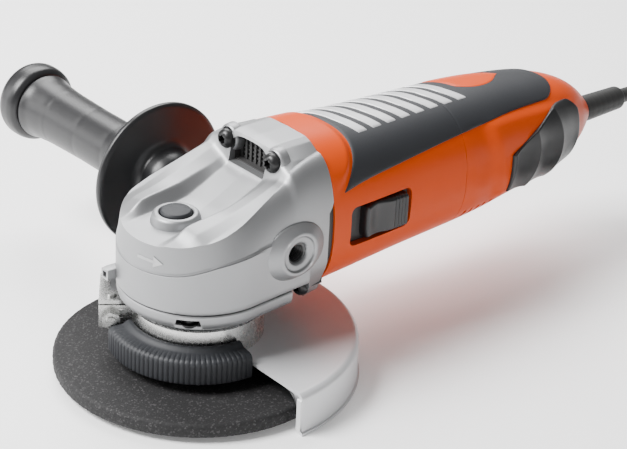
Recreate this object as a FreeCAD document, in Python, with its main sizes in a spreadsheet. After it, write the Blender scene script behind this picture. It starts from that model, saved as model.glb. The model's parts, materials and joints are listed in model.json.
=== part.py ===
"""A 115 mm corded angle grinder, modelled as the pieces it is assembled from.

The frame: the origin is on the spindle axis at the outer face of the lock nut, +X runs back along
the motor to the mains lead, +Y points to the side handle and +Z points up, away from the disc.
"""
import FreeCAD, Part

import math
import os

import Sketcher

Vector = FreeCAD.Vector
Rotation = FreeCAD.Rotation
Placement = FreeCAD.Placement

X_AXIS = Vector(1, 0, 0)
Y_AXIS = Vector(0, 1, 0)
Z_AXIS = Vector(0, 0, 1)

# ---------------------------------------------------------------- driving dimensions, millimetres
SIZES = {
    # disc, nut and flange on the spindle
    "disc_radius": 57.5,
    "disc_thickness": 6.0,
    "disc_bore": 11.115,
    "hub_rise": 4.6,
    "hub_radius": 20.8,
    "hub_foot": 27.0,
    "clamp_radius": 20.5,
    "nut_pilot": 10.9,
    "nut_top": 8.2,
    "flange_pilot": 11.0,
    "flange_top": 14.0,
    "pin_hole_radius": 2.6,
    "pin_hole_circle": 17.5,
    "pin_hole_depth": 3.6,
    "thread_radius": 7.0,
    "journal_radius": 6.0,
    "shoulder_radius": 8.5,
    "spindle_bottom": 1.0,
    "spindle_top": 63.0,
    "spindle_nose": 4.0,
    # bearings
    "bearing_low": 19.0,
    "bearing_high": 29.0,
    "bearing_radius": 16.0,
    # gears
    "motor_axis_z": 57.0,
    "crown_teeth": 37.0,
    "pinion_teeth": 11.0,
    "gear_module": 1.05,
    "face_width": 5.5,
    "gear_floor": 44.0,
    "gear_deck": 51.4,
    "lock_circle": 11.7,
    "lock_pin_radius": 1.8,
    "lock_hole_radius": 2.0,
    # gear case
    "nose_radius": 32.5,
    "case_half_width": 30.2,
    "case_rear": 40.0,
    "case_wall": 3.5,
    "split_z": 38.5,
    "case_bottom": 31.0,
    "case_top": 92.4,
    "neck_radius": 24.5,
    "neck_bottom": 15.5,
    "handle_x": 20.7,
    "handle_z": 56.0,
    "boss_face": 34.0,
    "boss_radius": 10.5,
    "handle_thread": 4.0,
    # guard
    "guard_radius": 64.4,
    "guard_plate_top": 16.0,
    "guard_plate_low": 14.5,
    "guard_hem": -2.1,
    "band_inner": 24.8,
    "band_outer": 26.3,
    "band_top": 28.0,
    # motor housing and rear cover
    "housing_front": 42.5,
    "cover_joint": 117.5,
    "cover_end": 213.0,
    "shell_wall": 2.6,
    "inlay_depth": 1.2,
    # motor
    "shaft_radius": 5.0,
    "pinion_shaft": 3.0,
    "core_radius": 16.6,
    "core_front": 70.0,
    "core_rear": 106.0,
    "stator_radius": 22.3,
    "stator_bore": 17.0,
    "rear_bearing_x": 134.0,
    # mains lead
    "cord_radius": 3.4,
    "floor_z": -2.1,
    "coil_x": 258.0,
    "coil_y": -78.0,
    "coil_inner_turn": 32.0,
    "turn_pitch": 7.0,
    "tie_thickness": 0.8,
    "plug_pin_radius": 2.4,
    "plug_pin_length": 19.0,
}

document = FreeCAD.newDocument("AngleGrinder")
sheet = document.addObject("Spreadsheet::Sheet", "Sizes")
for row, (alias, millimetres) in enumerate(SIZES.items(), start=1):
    sheet.set(f"A{row}", alias)
    sheet.set(f"B{row}", str(millimetres))
    sheet.setAlias(f"B{row}", alias)
document.recompute()

nodes = []


# ------------------------------------------------------------------------------ general helpers
def size(alias):
    """The value of one cell of the sheet."""
    return float(sheet.get(alias))


def number(total):
    """The value of a sum of cells and numbers, such as "hub_rise + disc_thickness - 0.5"."""
    value = 0.0
    sign = 1.0
    for word in total.split():
        if word == "+":
            sign = 1.0
        elif word == "-":
            sign = -1.0
        elif word in SIZES:
            value += sign * size(word)
        else:
            value += sign * float(word)
    return value


def bound(total):
    """The same sum as an expression on the sheet's cells."""
    return " ".join("Sizes." + word if word in SIZES else word for word in total.split())


def keep(thing, label):
    """Name a finished sub-part and list it as one to write."""
    thing.Label = label
    nodes.append(thing)
    return thing


def along(direction, base=Vector()):
    """The placement that turns +Z to a direction and moves the origin to base."""
    return Placement(base, Rotation(Z_AXIS, direction))


def origin_feature(body, role):
    """One of a body's own origin planes or axes."""
    return next(item for item in body.Origin.OriginFeatures if item.Role == role)


def closed_sketch(body, name, role, corners):
    """A closed outline of straight lines whose corners are held by cells of the sheet."""
    sketch = body.newObject("Sketcher::SketchObject", name)
    sketch.AttachmentSupport = (origin_feature(body, role), [""])
    sketch.MapMode = "FlatFace"
    points = [Vector(number(across), number(up), 0) for across, up in corners]
    count = len(points)
    for index in range(count):
        sketch.addGeometry(Part.LineSegment(points[index], points[(index + 1) % count]), False)
    for index in range(count):
        sketch.addConstraint(Sketcher.Constraint("Coincident", index, 2, (index + 1) % count, 1))
        ways = (("DistanceX", -2, corners[index][0]), ("DistanceY", -1, corners[index][1]))
        for kind, axis, total in ways:
            value = number(total)
            if abs(value) < 1e-9:
                sketch.addConstraint(Sketcher.Constraint("PointOnObject", index, 1, axis))
            else:
                held = sketch.addConstraint(Sketcher.Constraint(kind, -1, 1, index, 1, value))
                sketch.setExpression(f"Constraints[{held}]", bound(total))
    return sketch


def turned(label, corners, placement=None, angle=360):
    """A body turned about its own Z axis from a half section of (radius, height) corners."""
    body = document.addObject("PartDesign::Body", label)
    sketch = closed_sketch(body, label + "_section", "XZ_Plane", corners)
    turn = body.newObject("PartDesign::Revolution", label + "_turn")
    turn.Profile = sketch
    turn.ReferenceAxis = (sketch, ["V_Axis"])
    turn.Angle = angle
    body.Tip = turn
    if placement:
        body.Placement = placement
    return keep(body, label)


def shaped(label, shape, placement=None):
    """A sub-part whose shape is worked out here from the sheet's sizes."""
    feature = document.addObject("Part::Feature", label)
    feature.Shape = shape
    if placement:
        feature.Placement = placement
    return keep(feature, label)


def rod(radius, length, base, direction=Z_AXIS):
    """A cylinder."""
    return Part.makeCylinder(radius, length, base, direction)


def ring(outer, inner, length, base, direction=Z_AXIS):
    """A tube with a square section."""
    longer = base - direction * 1.0
    return rod(outer, length, base, direction).cut(rod(inner, length + 2.0, longer, direction))


def block(low, high):
    """A box between two opposite corners."""
    span = high - low
    return Part.makeBox(span.x, span.y, span.z, low)


def prism(points, direction):
    """A flat outline of straight lines carried along a direction."""
    return Part.Face(Part.makePolygon(points + points[:1])).extrude(direction)


# --------------------------------------------------------------------------- disc and its clamp
def make_grinding_disc():
    """The depressed-centre disc: a flat ring whose hub stands up from it."""
    turned("grinding_disc", [
        ("disc_bore", "hub_rise"), ("hub_radius", "hub_rise"), ("hub_foot", "0"),
        ("disc_radius", "0"), ("disc_radius", "disc_thickness"),
        ("hub_foot - 1.5", "disc_thickness"), ("hub_radius - 1.3", "hub_rise + disc_thickness"),
        ("disc_bore", "hub_rise + disc_thickness")])


def make_inner_flange():
    """The backing flange that centres the disc's bore."""
    deck = "hub_rise + disc_thickness"
    turned("inner_flange", [
        ("thread_radius", deck + " - 2.2"), ("flange_pilot", deck + " - 2.2"),
        ("flange_pilot", deck), ("clamp_radius", deck), ("clamp_radius", deck + " + 1.6"),
        ("thread_radius + 6", "flange_top"), ("thread_radius", "flange_top")])


def make_lock_nut():
    """The outer nut, with two blind holes for a pin spanner."""
    body = turned("lock_nut", [
        ("thread_radius", "0"), ("clamp_radius", "0"), ("clamp_radius", "hub_rise"),
        ("nut_pilot", "hub_rise"), ("nut_pilot", "nut_top"), ("thread_radius", "nut_top")])
    document.recompute()
    whole = body.Shape.Volume
    sketch = body.newObject("Sketcher::SketchObject", "spanner_hole")
    sketch.AttachmentSupport = (origin_feature(body, "XY_Plane"), [""])
    sketch.MapMode = "FlatFace"
    centre = Vector(size("pin_hole_circle"), 0, 0)
    sketch.addGeometry(Part.Circle(centre, Z_AXIS, size("pin_hole_radius")), False)
    sketch.addConstraint(Sketcher.Constraint("PointOnObject", 0, 3, -1))
    reach = sketch.addConstraint(Sketcher.Constraint("DistanceX", -1, 1, 0, 3, centre.x))
    sketch.setExpression(f"Constraints[{reach}]", "Sizes.pin_hole_circle")
    width = sketch.addConstraint(Sketcher.Constraint("Radius", 0, size("pin_hole_radius")))
    sketch.setExpression(f"Constraints[{width}]", "Sizes.pin_hole_radius")
    pocket = body.newObject("PartDesign::Pocket", "spanner_pocket")
    pocket.Profile = sketch
    pocket.Reversed = True
    pocket.setExpression("Length", "Sizes.pin_hole_depth")
    pair = body.newObject("PartDesign::PolarPattern", "spanner_pair")
    pair.Originals = [pocket]
    pair.Axis = (origin_feature(body, "Z_Axis"), [""])
    pair.Angle = 360
    pair.Occurrences = 2
    body.Tip = pair
    document.recompute()
    drilled = 2 * math.pi * size("pin_hole_radius") ** 2 * size("pin_hole_depth")
    print("lock nut: drilled", round(whole - body.Shape.Volume, 2), "of", round(drilled, 2))


# ------------------------------------------------------------------------- spindle and its gears
def make_spindle():
    """The stepped output spindle, from the M14 nose to the journal in the upper bush."""
    turned("spindle", [
        ("0", "spindle_bottom"), ("thread_radius - 0.8", "spindle_bottom"),
        ("thread_radius", "spindle_bottom + 0.8"), ("thread_radius", "flange_top"),
        ("shoulder_radius", "flange_top"), ("shoulder_radius", "bearing_low"),
        ("journal_radius", "bearing_low"), ("journal_radius", "bearing_high"),
        ("journal_radius + 1.8", "bearing_high"), ("journal_radius + 1.8", "gear_floor - 2"),
        ("journal_radius", "gear_floor - 2"), ("journal_radius", "gear_deck"),
        ("spindle_nose", "gear_deck"), ("spindle_nose", "spindle_top"), ("0", "spindle_top")])


def make_spindle_bearing():
    """The ball bearing of the spindle: shielded outer ring and inner ring."""
    turned("spindle_bearing_outer", [
        ("bearing_radius", "bearing_low"), ("bearing_radius", "bearing_high"),
        ("bearing_radius - 3.4", "bearing_high"), ("bearing_radius - 3.4", "bearing_high - 0.4"),
        ("journal_radius + 3.2", "bearing_high - 0.4"),
        ("journal_radius + 3.2", "bearing_high - 1.2"),
        ("bearing_radius - 3.4", "bearing_high - 1.2"),
        ("bearing_radius - 3.4", "bearing_low + 1.2"),
        ("journal_radius + 3.2", "bearing_low + 1.2"),
        ("journal_radius + 3.2", "bearing_low + 0.4"),
        ("bearing_radius - 3.4", "bearing_low + 0.4"), ("bearing_radius - 3.4", "bearing_low")])
    turned("spindle_bearing_inner", [
        ("journal_radius", "bearing_low"), ("journal_radius + 2.9", "bearing_low"),
        ("journal_radius + 2.9", "bearing_high"), ("journal_radius", "bearing_high")])


def make_upper_bush():
    """The plain bush that steadies the spindle's top end."""
    turned("upper_bush", [
        ("spindle_nose + 0.03", "spindle_top - 8"), ("spindle_nose + 2.5", "spindle_top - 8"),
        ("spindle_nose + 2.5", "spindle_top + 0.5"), ("spindle_nose + 0.03", "spindle_top + 0.5")])


def involute_side(teeth, addendum, dedendum, slack, points=5):
    """Half of a tooth's outline, as (distance across, height from the pitch line), root to tip.

    The tooth is that of the virtual spur gear on the back cone: its flank is the involute of the
    base circle, and slack is what the half tooth gives up at the pitch circle.
    """
    module = size("gear_module")
    pitch = 0.5 * module * teeth
    base = pitch * math.cos(math.radians(20))
    root = pitch - dedendum * module
    tip = pitch + addendum * module

    def roll(radius):
        ratio = max(-1.0, min(1.0, base / radius))
        return math.tan(math.acos(ratio)) - math.acos(ratio)

    half_angle = (0.25 * math.pi * module - slack) / pitch
    start = max(root, base)
    side = []
    if root < base:
        angle = half_angle + roll(pitch)
        side.append((root * math.sin(angle), root * math.cos(angle) - pitch))
    for step in range(points):
        radius = start + (tip - start) * step / (points - 1)
        angle = half_angle + roll(pitch) - roll(radius)
        side.append((radius * math.sin(angle), radius * math.cos(angle) - pitch))
    return side


def bevel_tooth(side, cone_angle, outer, inner):
    """One straight bevel tooth, pointing to +X at height zero of its axis, with the apex at 0.

    The outline lies in the plane square to the pitch cone and shrinks towards the apex, so the
    tooth is a ruled loft between two similar outlines.
    """
    run = Vector(math.sin(cone_angle), 0, -math.cos(cone_angle))
    rise = Vector(math.cos(cone_angle), 0, math.sin(cone_angle))
    wires = []
    for distance in (outer, inner):
        scale = distance / outer
        left = [run * distance + (rise * up + Y_AXIS * across) * scale for across, up in side]
        right = [run * distance + (rise * up - Y_AXIS * across) * scale for across, up in side]
        loop = left + right[::-1]
        wires.append(Part.makePolygon(loop + loop[:1]))
    return Part.makeLoft(wires, True, True)


def cone_frustum(half_angle, outer, inner, shift):
    """The turned body under a gear's teeth: the root cone between two distances from the apex."""
    run = Vector(math.sin(half_angle), 0, -math.cos(half_angle))
    rise = Vector(math.cos(half_angle), 0, math.sin(half_angle))
    top_outer = run * outer + rise * shift
    top_inner = run * inner + rise * (shift * inner / outer)
    return top_outer, top_inner


def gear_angles():
    """Pitch cone angles of the pinion and the crown gear, and their common cone distance."""
    small = math.atan2(size("pinion_teeth"), size("crown_teeth"))
    large = math.pi / 2 - small
    distance = 0.5 * size("gear_module") * size("crown_teeth") / math.sin(large)
    return small, large, distance


def make_crown_gear():
    """The crown gear on the spindle, its teeth upwards, with four holes for the lock pin."""
    large, outer = gear_angles()[1:]
    inner = outer - size("face_width")
    teeth = int(size("crown_teeth"))
    addendum, dedendum = 0.55, 1.15
    side = involute_side(teeth / math.cos(large), addendum, dedendum + 0.25, 0.10)
    apex = Vector(0, 0, size("motor_axis_z"))
    shift = -dedendum * size("gear_module")
    rim, lip = cone_frustum(large, outer, inner, shift)
    deck = size("gear_deck")
    floor = size("gear_floor")
    section = [
        Vector(size("journal_radius"), 0, floor - 2), Vector(size("journal_radius") + 5, 0, floor - 2),
        Vector(size("journal_radius") + 7, 0, floor), Vector(rim.x - 1.0, 0, floor),
        rim + apex - Z_AXIS * 3.0, rim + apex, lip + apex, Vector(lip.x - 1.6, 0, deck),
        Vector(size("journal_radius"), 0, deck)]
    blank = Part.Face(Part.makePolygon(section + section[:1])).revolve(Vector(), Z_AXIS, 360)
    tooth = bevel_tooth(side, large, outer, inner)
    tooth.translate(apex)
    solids = []
    for index in range(teeth):
        copy = tooth.copy()
        copy.rotate(Vector(), Z_AXIS, (index + 0.5) * 360.0 / teeth)
        solids.append(copy)
    gear = blank.multiFuse(solids)
    for quarter in range(4):
        place = Rotation(Z_AXIS, 90 * quarter).multVec(Vector(size("lock_circle"), 0, floor - 3))
        gear = gear.cut(rod(size("lock_hole_radius"), 12, place))
    shaped("crown_gear", gear)


def make_pinion_gear():
    """The bevel pinion on the armature shaft."""
    small, _, outer = gear_angles()
    inner = outer - size("face_width")
    teeth = int(size("pinion_teeth"))
    side = involute_side(teeth / math.cos(small), 0.85, 1.0, 0.10)
    side = [(side[0][0], side[0][1] - 0.3)] + side
    shift = -0.85 * size("gear_module")
    rim, lip = cone_frustum(small, outer, inner, shift)
    hub = 6.2
    back = -30.0
    stop = rim.z - 0.6
    section = [
        Vector(0, 0, lip.z), lip, rim, Vector(hub, 0, stop), Vector(hub, 0, back),
        Vector(size("pinion_shaft"), 0, back), Vector(size("pinion_shaft"), 0, -19.5),
        Vector(0, 0, -19.5)]
    blank = Part.Face(Part.makePolygon(section + section[:1])).revolve(Vector(), Z_AXIS, 360)
    tooth = bevel_tooth(side, small, outer, inner)
    solids = []
    for index in range(teeth):
        copy = tooth.copy()
        copy.rotate(Vector(), Z_AXIS, (index + 0.5) * 360.0 / teeth)
        solids.append(copy)
    gear = blank.multiFuse(solids)
    # the gear's own -Z becomes +X and its -X, where a tooth stands, becomes -Z, towards the crown
    turn = Placement(Vector(0, 0, size("motor_axis_z")), Rotation(Y_AXIS, -90))
    gear = gear.transformGeometry(turn.toMatrix())
    shaped("pinion_gear", gear)


# --------------------------------------------------------------------------------- the gear case
def case_outline(inset, rear):
    """The plan of the gear case: a round nose that runs into two nearly straight sides."""
    radius = size("nose_radius") - inset
    half = size("case_half_width") - inset
    lean = math.asin((radius - half) / size("case_rear"))
    join = Vector(radius * math.sin(lean), radius * math.cos(lean), 0)
    slope = (half - join.y) / (size("case_rear") - join.x)
    rear_half = join.y + slope * (rear - join.x)
    nose = Part.Arc(join, Vector(-radius, 0, 0), Vector(join.x, -join.y, 0))
    edges = [
        nose.toShape(),
        Part.makeLine(Vector(join.x, -join.y, 0), Vector(rear, -rear_half, 0)),
        Part.makeLine(Vector(rear, -rear_half, 0), Vector(rear, rear_half, 0)),
        Part.makeLine(Vector(rear, rear_half, 0), join)]
    return Part.Face(Part.Wire(Part.__sortEdges__(edges)))


def case_prism(inset, rear, low, high):
    """The plan carried from one height to another."""
    face = case_outline(inset, rear)
    face.translate(Z_AXIS * low)
    return face.extrude(Z_AXIS * (high - low))


def case_arch(inset, low, top, rear):
    """The gear case seen from the front: straight sides and a broad round top."""
    half = size("nose_radius") + 0.6 - inset
    shoulder = 66.0 - inset
    corner = top - shoulder
    flat = half - corner
    bulge = corner * math.sqrt(0.5)
    points = [
        Vector(-80, -half, low), Vector(-80, -half, shoulder),
        Vector(-80, -flat - bulge, shoulder + bulge), Vector(-80, -flat, top),
        Vector(-80, flat, top), Vector(-80, flat + bulge, shoulder + bulge),
        Vector(-80, half, shoulder), Vector(-80, half, low)]
    edges = [
        Part.makeLine(points[0], points[1]),
        Part.Arc(points[1], points[2], points[3]).toShape(),
        Part.makeLine(points[3], points[4]),
        Part.Arc(points[4], points[5], points[6]).toShape(),
        Part.makeLine(points[6], points[7]),
        Part.makeLine(points[7], points[0])]
    return Part.Face(Part.Wire(edges)).extrude(X_AXIS * (rear + 80))


def side_prism(corners, half=60):
    """An outline of (x, z) corners carried across the whole width."""
    return prism([Vector(x, -half, z) for x, z in corners], Y_AXIS * (2 * half))


def case_screw_places():
    """Centres of the four screws that hold the gear case to the motor housing."""
    return [Vector(24, 14, 86.5), Vector(24, -14, 86.5), Vector(31, 24.5, 35.5),
            Vector(31, -24.5, 35.5)]


def make_gear_case():
    """The die-cast gear case: a teardrop shell with a sloping, dished top and two handle bosses."""
    low = size("split_z")
    top = size("case_top")
    rear = size("case_rear")
    wall = size("case_wall")
    slope = [(-60, low - 9), (-60, 60), (-31, 65), (-17, 71.5), (24, 91.5), (28, top), (50, top),
             (50, low - 9)]
    shell = case_prism(0, rear, low, top + 5).common(case_arch(0, low - 5, top, rear))
    shell = shell.common(side_prism(slope))
    ears = case_prism(0, rear, low - 7.5, low).common(block(Vector(26, -40, 20), Vector(41, 40, 60)))
    shell = shell.fuse(ears)
    hollow_line = [(-40, low - 9), (-40, 60), (-27, 61), (-8, 63.5), (20, 74), (32, 74),
                   (32, low - 9)]
    hollow = case_prism(wall, 32, low - 0.5, top).common(case_arch(wall, low - 5, top - 8, 32))
    hollow = hollow.common(side_prism(hollow_line))
    shell = shell.cut(hollow)
    # the dish in the top and the arched mouth behind it
    dish = side_prism([(-22, 66.2), (-5, 67.0), (22.5, 78.4), (22.5, 99), (-22, 99)], 11)
    mouth = block(Vector(20, -9.5, 79.5), Vector(rear + 1, 9.5, 89.5))
    shell = shell.cut(dish).cut(mouth)
    # seats for the bush, the lock pin, the front motor bearing and the side handle
    bush_seat = rod(9.0, 11.0, Vector(0, 0, size("spindle_top") - 8))
    button_seat = rod(8.6, 10.5, Vector(-size("lock_circle"), 0, 59.0))
    shell = shell.fuse(bush_seat).fuse(button_seat)
    axis_z = size("motor_axis_z")
    shell = shell.fuse(rod(15.0, 8.0, Vector(rear - 10, 0, axis_z), X_AXIS))
    for side in (1, -1):
        face_y = side * size("boss_face")
        inner_y = side * 19.0
        reach = abs(face_y - inner_y)
        boss = rod(size("boss_radius") - 1.5, reach, Vector(size("handle_x"), inner_y, size("handle_z")),
                   Y_AXIS * side)
        shell = shell.fuse(boss)
    for side in (1, -1):
        thread = rod(size("handle_thread"), 17, Vector(size("handle_x"), side * 18.5, size("handle_z")),
                     Y_AXIS * side)
        shell = shell.cut(thread)
    shell = shell.cut(rod(size("spindle_nose") + 2.5, 8.5, Vector(0, 0, size("spindle_top") - 8)))
    shell = shell.cut(rod(11.0, 7.0, Vector(rear - 7, 0, axis_z), X_AXIS))
    shell = shell.cut(rod(7.0, 12.0, Vector(rear - 11, 0, axis_z), X_AXIS))
    pin = Vector(-size("lock_circle"), 0, 50)
    shell = shell.cut(rod(size("lock_pin_radius") + 0.05, 30, pin))
    shell = shell.cut(rod(6.4, 20, Vector(pin.x, 0, 61.5)))
    for place in case_screw_places():
        shell = shell.cut(rod(2.0, 40, place, X_AXIS))
        shell = shell.cut(rod(5.0, 16, place - X_AXIS * 16, X_AXIS))
    for place in flange_screw_places():
        lump = rod(4.4, 9.0, Vector(place.x, place.y, low)).common(case_prism(0.5, rear, low, 60))
        shell = shell.fuse(lump).cut(rod(2.0, 8, Vector(place.x, place.y, low - 0.5)))
    lug = block(Vector(-34.5, 15.5, 40), Vector(-25, 19.5, 44))
    shaped("gear_case", shell.fuse(lug).removeSplitter())


def flange_screw_places():
    """Centres of the four screws that hold the bearing flange to the gear case."""
    return [Vector(-19.5, 19.5, 0), Vector(-19.5, -19.5, 0), Vector(19.5, 22.5, 0),
            Vector(19.5, -22.5, 0)]


def make_bearing_flange():
    """The bottom cover of the gear case, with the neck that carries the guard."""
    low = size("case_bottom")
    high = size("split_z")
    plate = case_prism(0.8, 25.7, low, high)
    neck = rod(size("neck_radius"), low - size("neck_bottom") + 1, Vector(0, 0, size("neck_bottom")))
    part = plate.fuse(neck)
    part = part.cut(rod(size("bearing_radius"), 30, Vector(0, 0, size("bearing_low"))))
    part = part.cut(rod(size("shoulder_radius") + 0.4, 10, Vector(0, 0, size("neck_bottom") - 1)))
    part = part.cut(rod(24.0, 20, Vector(0, 0, high - 4.0)))
    for place in flange_screw_places():
        part = part.cut(rod(2.0, 20, Vector(place.x, place.y, low - 5)))
        part = part.cut(rod(3.9, 4.0, Vector(place.x, place.y, low - 1.5)))
    shaped("bearing_flange", part)


def pan_head_screw(head_radius, head_height, shank_radius, length):
    """A domed screw whose head sits on the plane z = 0 and whose shank points to +Z."""
    head = Part.makeSphere(head_radius * 1.15, Vector(0, 0, head_radius * 1.15 - head_height))
    head = head.common(rod(head_radius, head_height, Vector(0, 0, -head_height)))
    slot = block(Vector(-0.5, -head_radius * 0.6, -head_height - 1),
                 Vector(0.5, head_radius * 0.6, -head_height + 1.0))
    cross = slot.copy()
    cross.rotate(Vector(), Z_AXIS, 90)
    head = head.cut(slot).cut(cross)
    return head.fuse(rod(shank_radius, length, Vector()))


def group(label, shape, placements):
    """Several copies of one piece in one node."""
    copies = []
    for placement in placements:
        copy = shape.copy()
        copy.Placement = placement
        copies.append(copy)
    shaped(label, Part.makeCompound(copies))


def make_case_screws():
    """The screws of the gear case and of the bearing flange."""
    long_screw = pan_head_screw(3.9, 3.2, 2.0, 26)
    group("gear_case_screws", long_screw, [along(X_AXIS, place) for place in case_screw_places()])
    short_screw = pan_head_screw(3.6, 2.4, 2.0, 11.5)
    seat = size("case_bottom") + 2.5
    places = [along(Z_AXIS, Vector(place.x, place.y, seat)) for place in flange_screw_places()]
    group("flange_screws", short_screw, places)


# ------------------------------------------------------------------------------- spindle lock
def make_spindle_lock():
    """The lock button, the pin it pushes into the crown gear, and the return spring."""
    place = Vector(-size("lock_circle"), 0, 0)
    turned("lock_button", [
        ("0", "66"), ("3.4", "66"), ("3.4", "66.8"), ("6.1", "66.8"), ("6.1", "69.6"),
        ("5.2", "70.5"), ("0", "70.9")], Placement(place, Rotation()))
    turned("lock_pin", [
        ("0", "gear_deck + 1.2"), ("lock_pin_radius", "gear_deck + 1.2"),
        ("lock_pin_radius", "66"), ("0", "66")], Placement(place, Rotation()))
    turned("lock_spring", [
        ("lock_pin_radius + 0.4", "61.6"), ("lock_pin_radius + 1.5", "61.6"),
        ("lock_pin_radius + 1.5", "66"), ("lock_pin_radius + 0.4", "66")],
        Placement(place, Rotation()))


# --------------------------------------------------------------------------------------- guard
def make_guard():
    """The pressed guard: half a dish with a skirt, on a collar that clamps round the neck."""
    turned("guard_shell", [
        ("band_inner", "guard_plate_low"), ("guard_radius - 1.5", "guard_plate_low"),
        ("guard_radius - 1.5", "guard_hem"), ("guard_radius + 0.8", "guard_hem"),
        ("guard_radius + 0.8", "guard_hem + 1.3"), ("guard_radius", "guard_hem + 1.3"),
        ("guard_radius", "guard_plate_top - 2"), ("guard_radius - 2", "guard_plate_top"),
        ("band_inner", "guard_plate_top")], Placement(Vector(), Rotation(Z_AXIS, -90)), 180)
    clamp_way = Rotation(Z_AXIS, 143)
    band = ring(size("band_outer"), size("band_inner"), size("band_top") - size("guard_plate_top"),
                Vector(0, 0, size("guard_plate_top")))
    low = size("guard_plate_top")
    gap = block(Vector(20, -2.5, low - 1), Vector(30, 2.5, 40))
    ears = []
    for side in (1, -1):
        near, far = sorted((side * 2.5, side * 4.5))
        ear = block(Vector(size("band_inner") + 0.2, near, low + 1.5), Vector(39, far, 27.5))
        hole = rod(2.1, 10, Vector(34, -5, 22), Y_AXIS)
        ears.append(ear.cut(hole))
    for shape in [gap] + ears:
        shape.rotate(Vector(), Z_AXIS, 143)
    shaped("guard_band", band.cut(gap).multiFuse(ears).cut(rod(size("band_inner"), 30, Vector())))
    # the ribbed plastic piece between the collar and the disc, in front
    deflector = Part.Face(Part.makePolygon([
        Vector(26.5, 0, 17), Vector(26.5, 0, 21.5), Vector(35, 0, 21.5), Vector(36.5, 0, 20),
        Vector(36.5, 0, 10.5), Vector(34.5, 0, 10.5), Vector(34.5, 0, 17), Vector(26.5, 0, 17)]))
    sector = deflector.revolve(Vector(), Z_AXIS, 109)
    sector.rotate(Vector(), Z_AXIS, 158.5)
    shaped("front_deflector", sector)
    bolt_base = clamp_way.multVec(Vector(34, -6.5, 22))
    across = clamp_way.multVec(Y_AXIS)
    bolt = rod(2.0, 15, bolt_base, across).fuse(rod(3.6, 2.0, bolt_base, across))
    shaped("clamp_bolt", bolt)
    nut_base = clamp_way.multVec(Vector(34, 4.5, 22))
    corners = [Vector(4.0 * math.cos(math.radians(60 * k)), 4.0 * math.sin(math.radians(60 * k)), 0)
               for k in range(6)]
    nut = prism(corners, Z_AXIS * 3.2).cut(rod(2.0, 6, Vector(0, 0, -1)))
    nut.Placement = along(across, nut_base)
    shaped("clamp_nut", nut)
    make_guard_lever(clamp_way)


def make_guard_lever(clamp_way):
    """The quick-release lever that turns on an upright pin beside the clamp."""
    plate = rod(4.2, 1.6, Vector(31, 0, 27.9)).fuse(
        block(Vector(31, -4.2, 27.9), Vector(39, 4.2, 29.5)))
    arm = block(Vector(35, -18, 27.9), Vector(39, 0, 29.5))
    tab = block(Vector(37.6, -18, 23.5), Vector(39, -11, 29.5))
    head = rod(1.8, 1.2, Vector(34, 0, 29.5))
    lever = plate.fuse(arm).fuse(tab).fuse(head)
    lever.rotate(Vector(), Z_AXIS, 143)
    shaped("guard_lever", lever)


# --------------------------------------------------------------------------------- outer shells
def rounded_section(x, half_y, low, high, inset):
    """The closed outline of the housing at one station: a rounded rectangle in the plane x."""
    half = half_y - inset
    bottom = low + inset
    top = high - inset
    corner = 0.94 * min(half, 0.5 * (top - bottom))
    bulge = corner * (1 - math.sqrt(0.5))
    edges = []
    corners = [(half, top, 1, 1), (-half, top, -1, 1), (-half, bottom, -1, -1), (half, bottom, 1, -1)]
    arcs = []
    for y, z, way_y, way_z in corners:
        side = Vector(x, y, z - way_z * corner)
        cap = Vector(x, y - way_y * corner, z)
        middle = Vector(x, y - way_y * bulge, z - way_z * bulge)
        arcs.append((side, middle, cap) if way_y * way_z > 0 else (cap, middle, side))
    for index, (start, middle, end) in enumerate(arcs):
        edges.append(Part.Arc(start, middle, end).toShape())
        edges.append(Part.makeLine(end, arcs[(index + 1) % 4][0]))
    return Part.Wire(edges)


def front_stations():
    """Stations of the motor housing: place, half width, bottom and top."""
    return [(size("housing_front"), 30.2, 25.5, 92.2), (58.0, 30.0, 28.0, 89.0),
            (size("cover_joint"), 28.0, 29.8, 87.0)]


def rear_stations():
    """Stations of the rear cover: place, half width, bottom and top."""
    return [(size("cover_joint"), 28.0, 29.8, 87.0), (150.0, 25.6, 33.0, 85.0),
            (180.0, 23.8, 36.0, 81.5), (198.0, 18.5, 41.0, 76.0), (209.0, 12.5, 45.5, 69.0),
            (size("cover_end"), 9.5, 48.0, 65.0)]


def hull(stations, inset):
    """A solid through a list of stations, each pulled in by the same amount."""
    pieces = []
    for first, second in zip(stations, stations[1:]):
        wires = [rounded_section(*first, inset), rounded_section(*second, inset)]
        pieces.append(Part.makeLoft(wires, True, True))
    whole = pieces[0]
    for piece in pieces[1:]:
        whole = whole.fuse(piece)
    return whole


def panel_prism(grow=0.0):
    """The plan of the soft panel on top: wide in front, narrow and round behind."""
    front, rear = 60.0 - grow, 174.0
    wide, narrow = 27.0 + grow, 12.0 + grow
    edges = [
        Part.Arc(Vector(front - 10, -wide, 66), Vector(front, 0, 66),
                 Vector(front - 10, wide, 66)).toShape(),
        Part.makeLine(Vector(front - 10, wide, 66), Vector(rear, narrow, 66)),
        Part.Arc(Vector(rear, narrow, 66), Vector(rear + narrow, 0, 66),
                 Vector(rear, -narrow, 66)).toShape(),
        Part.makeLine(Vector(rear, -narrow, 66), Vector(front - 10, -wide, 66))]
    return Part.Face(Part.Wire(edges)).extrude(Z_AXIS * 40)


def grip_prism(side):
    """The side outline of a rear grip pad, carried through one side of the cover."""
    corners = [(145, 45.5), (145, 62), (178, 76), (193, 71), (190, 52), (178, 43)]
    return prism([Vector(x, side * 8, z) for x, z in corners], Y_AXIS * (side * 30))


def cover_screw_seat():
    """Where the head of the rear cover's screw sits, under the cover."""
    return Vector(132, 0, 32.6)


def switch_window(grow=0.0):
    """The recess for the slide switch in the near side of the housing."""
    return block(Vector(51.5 - grow, -45, 48.3 - grow), Vector(84.5 + grow, -27.6, 65.2 + grow))


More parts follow.
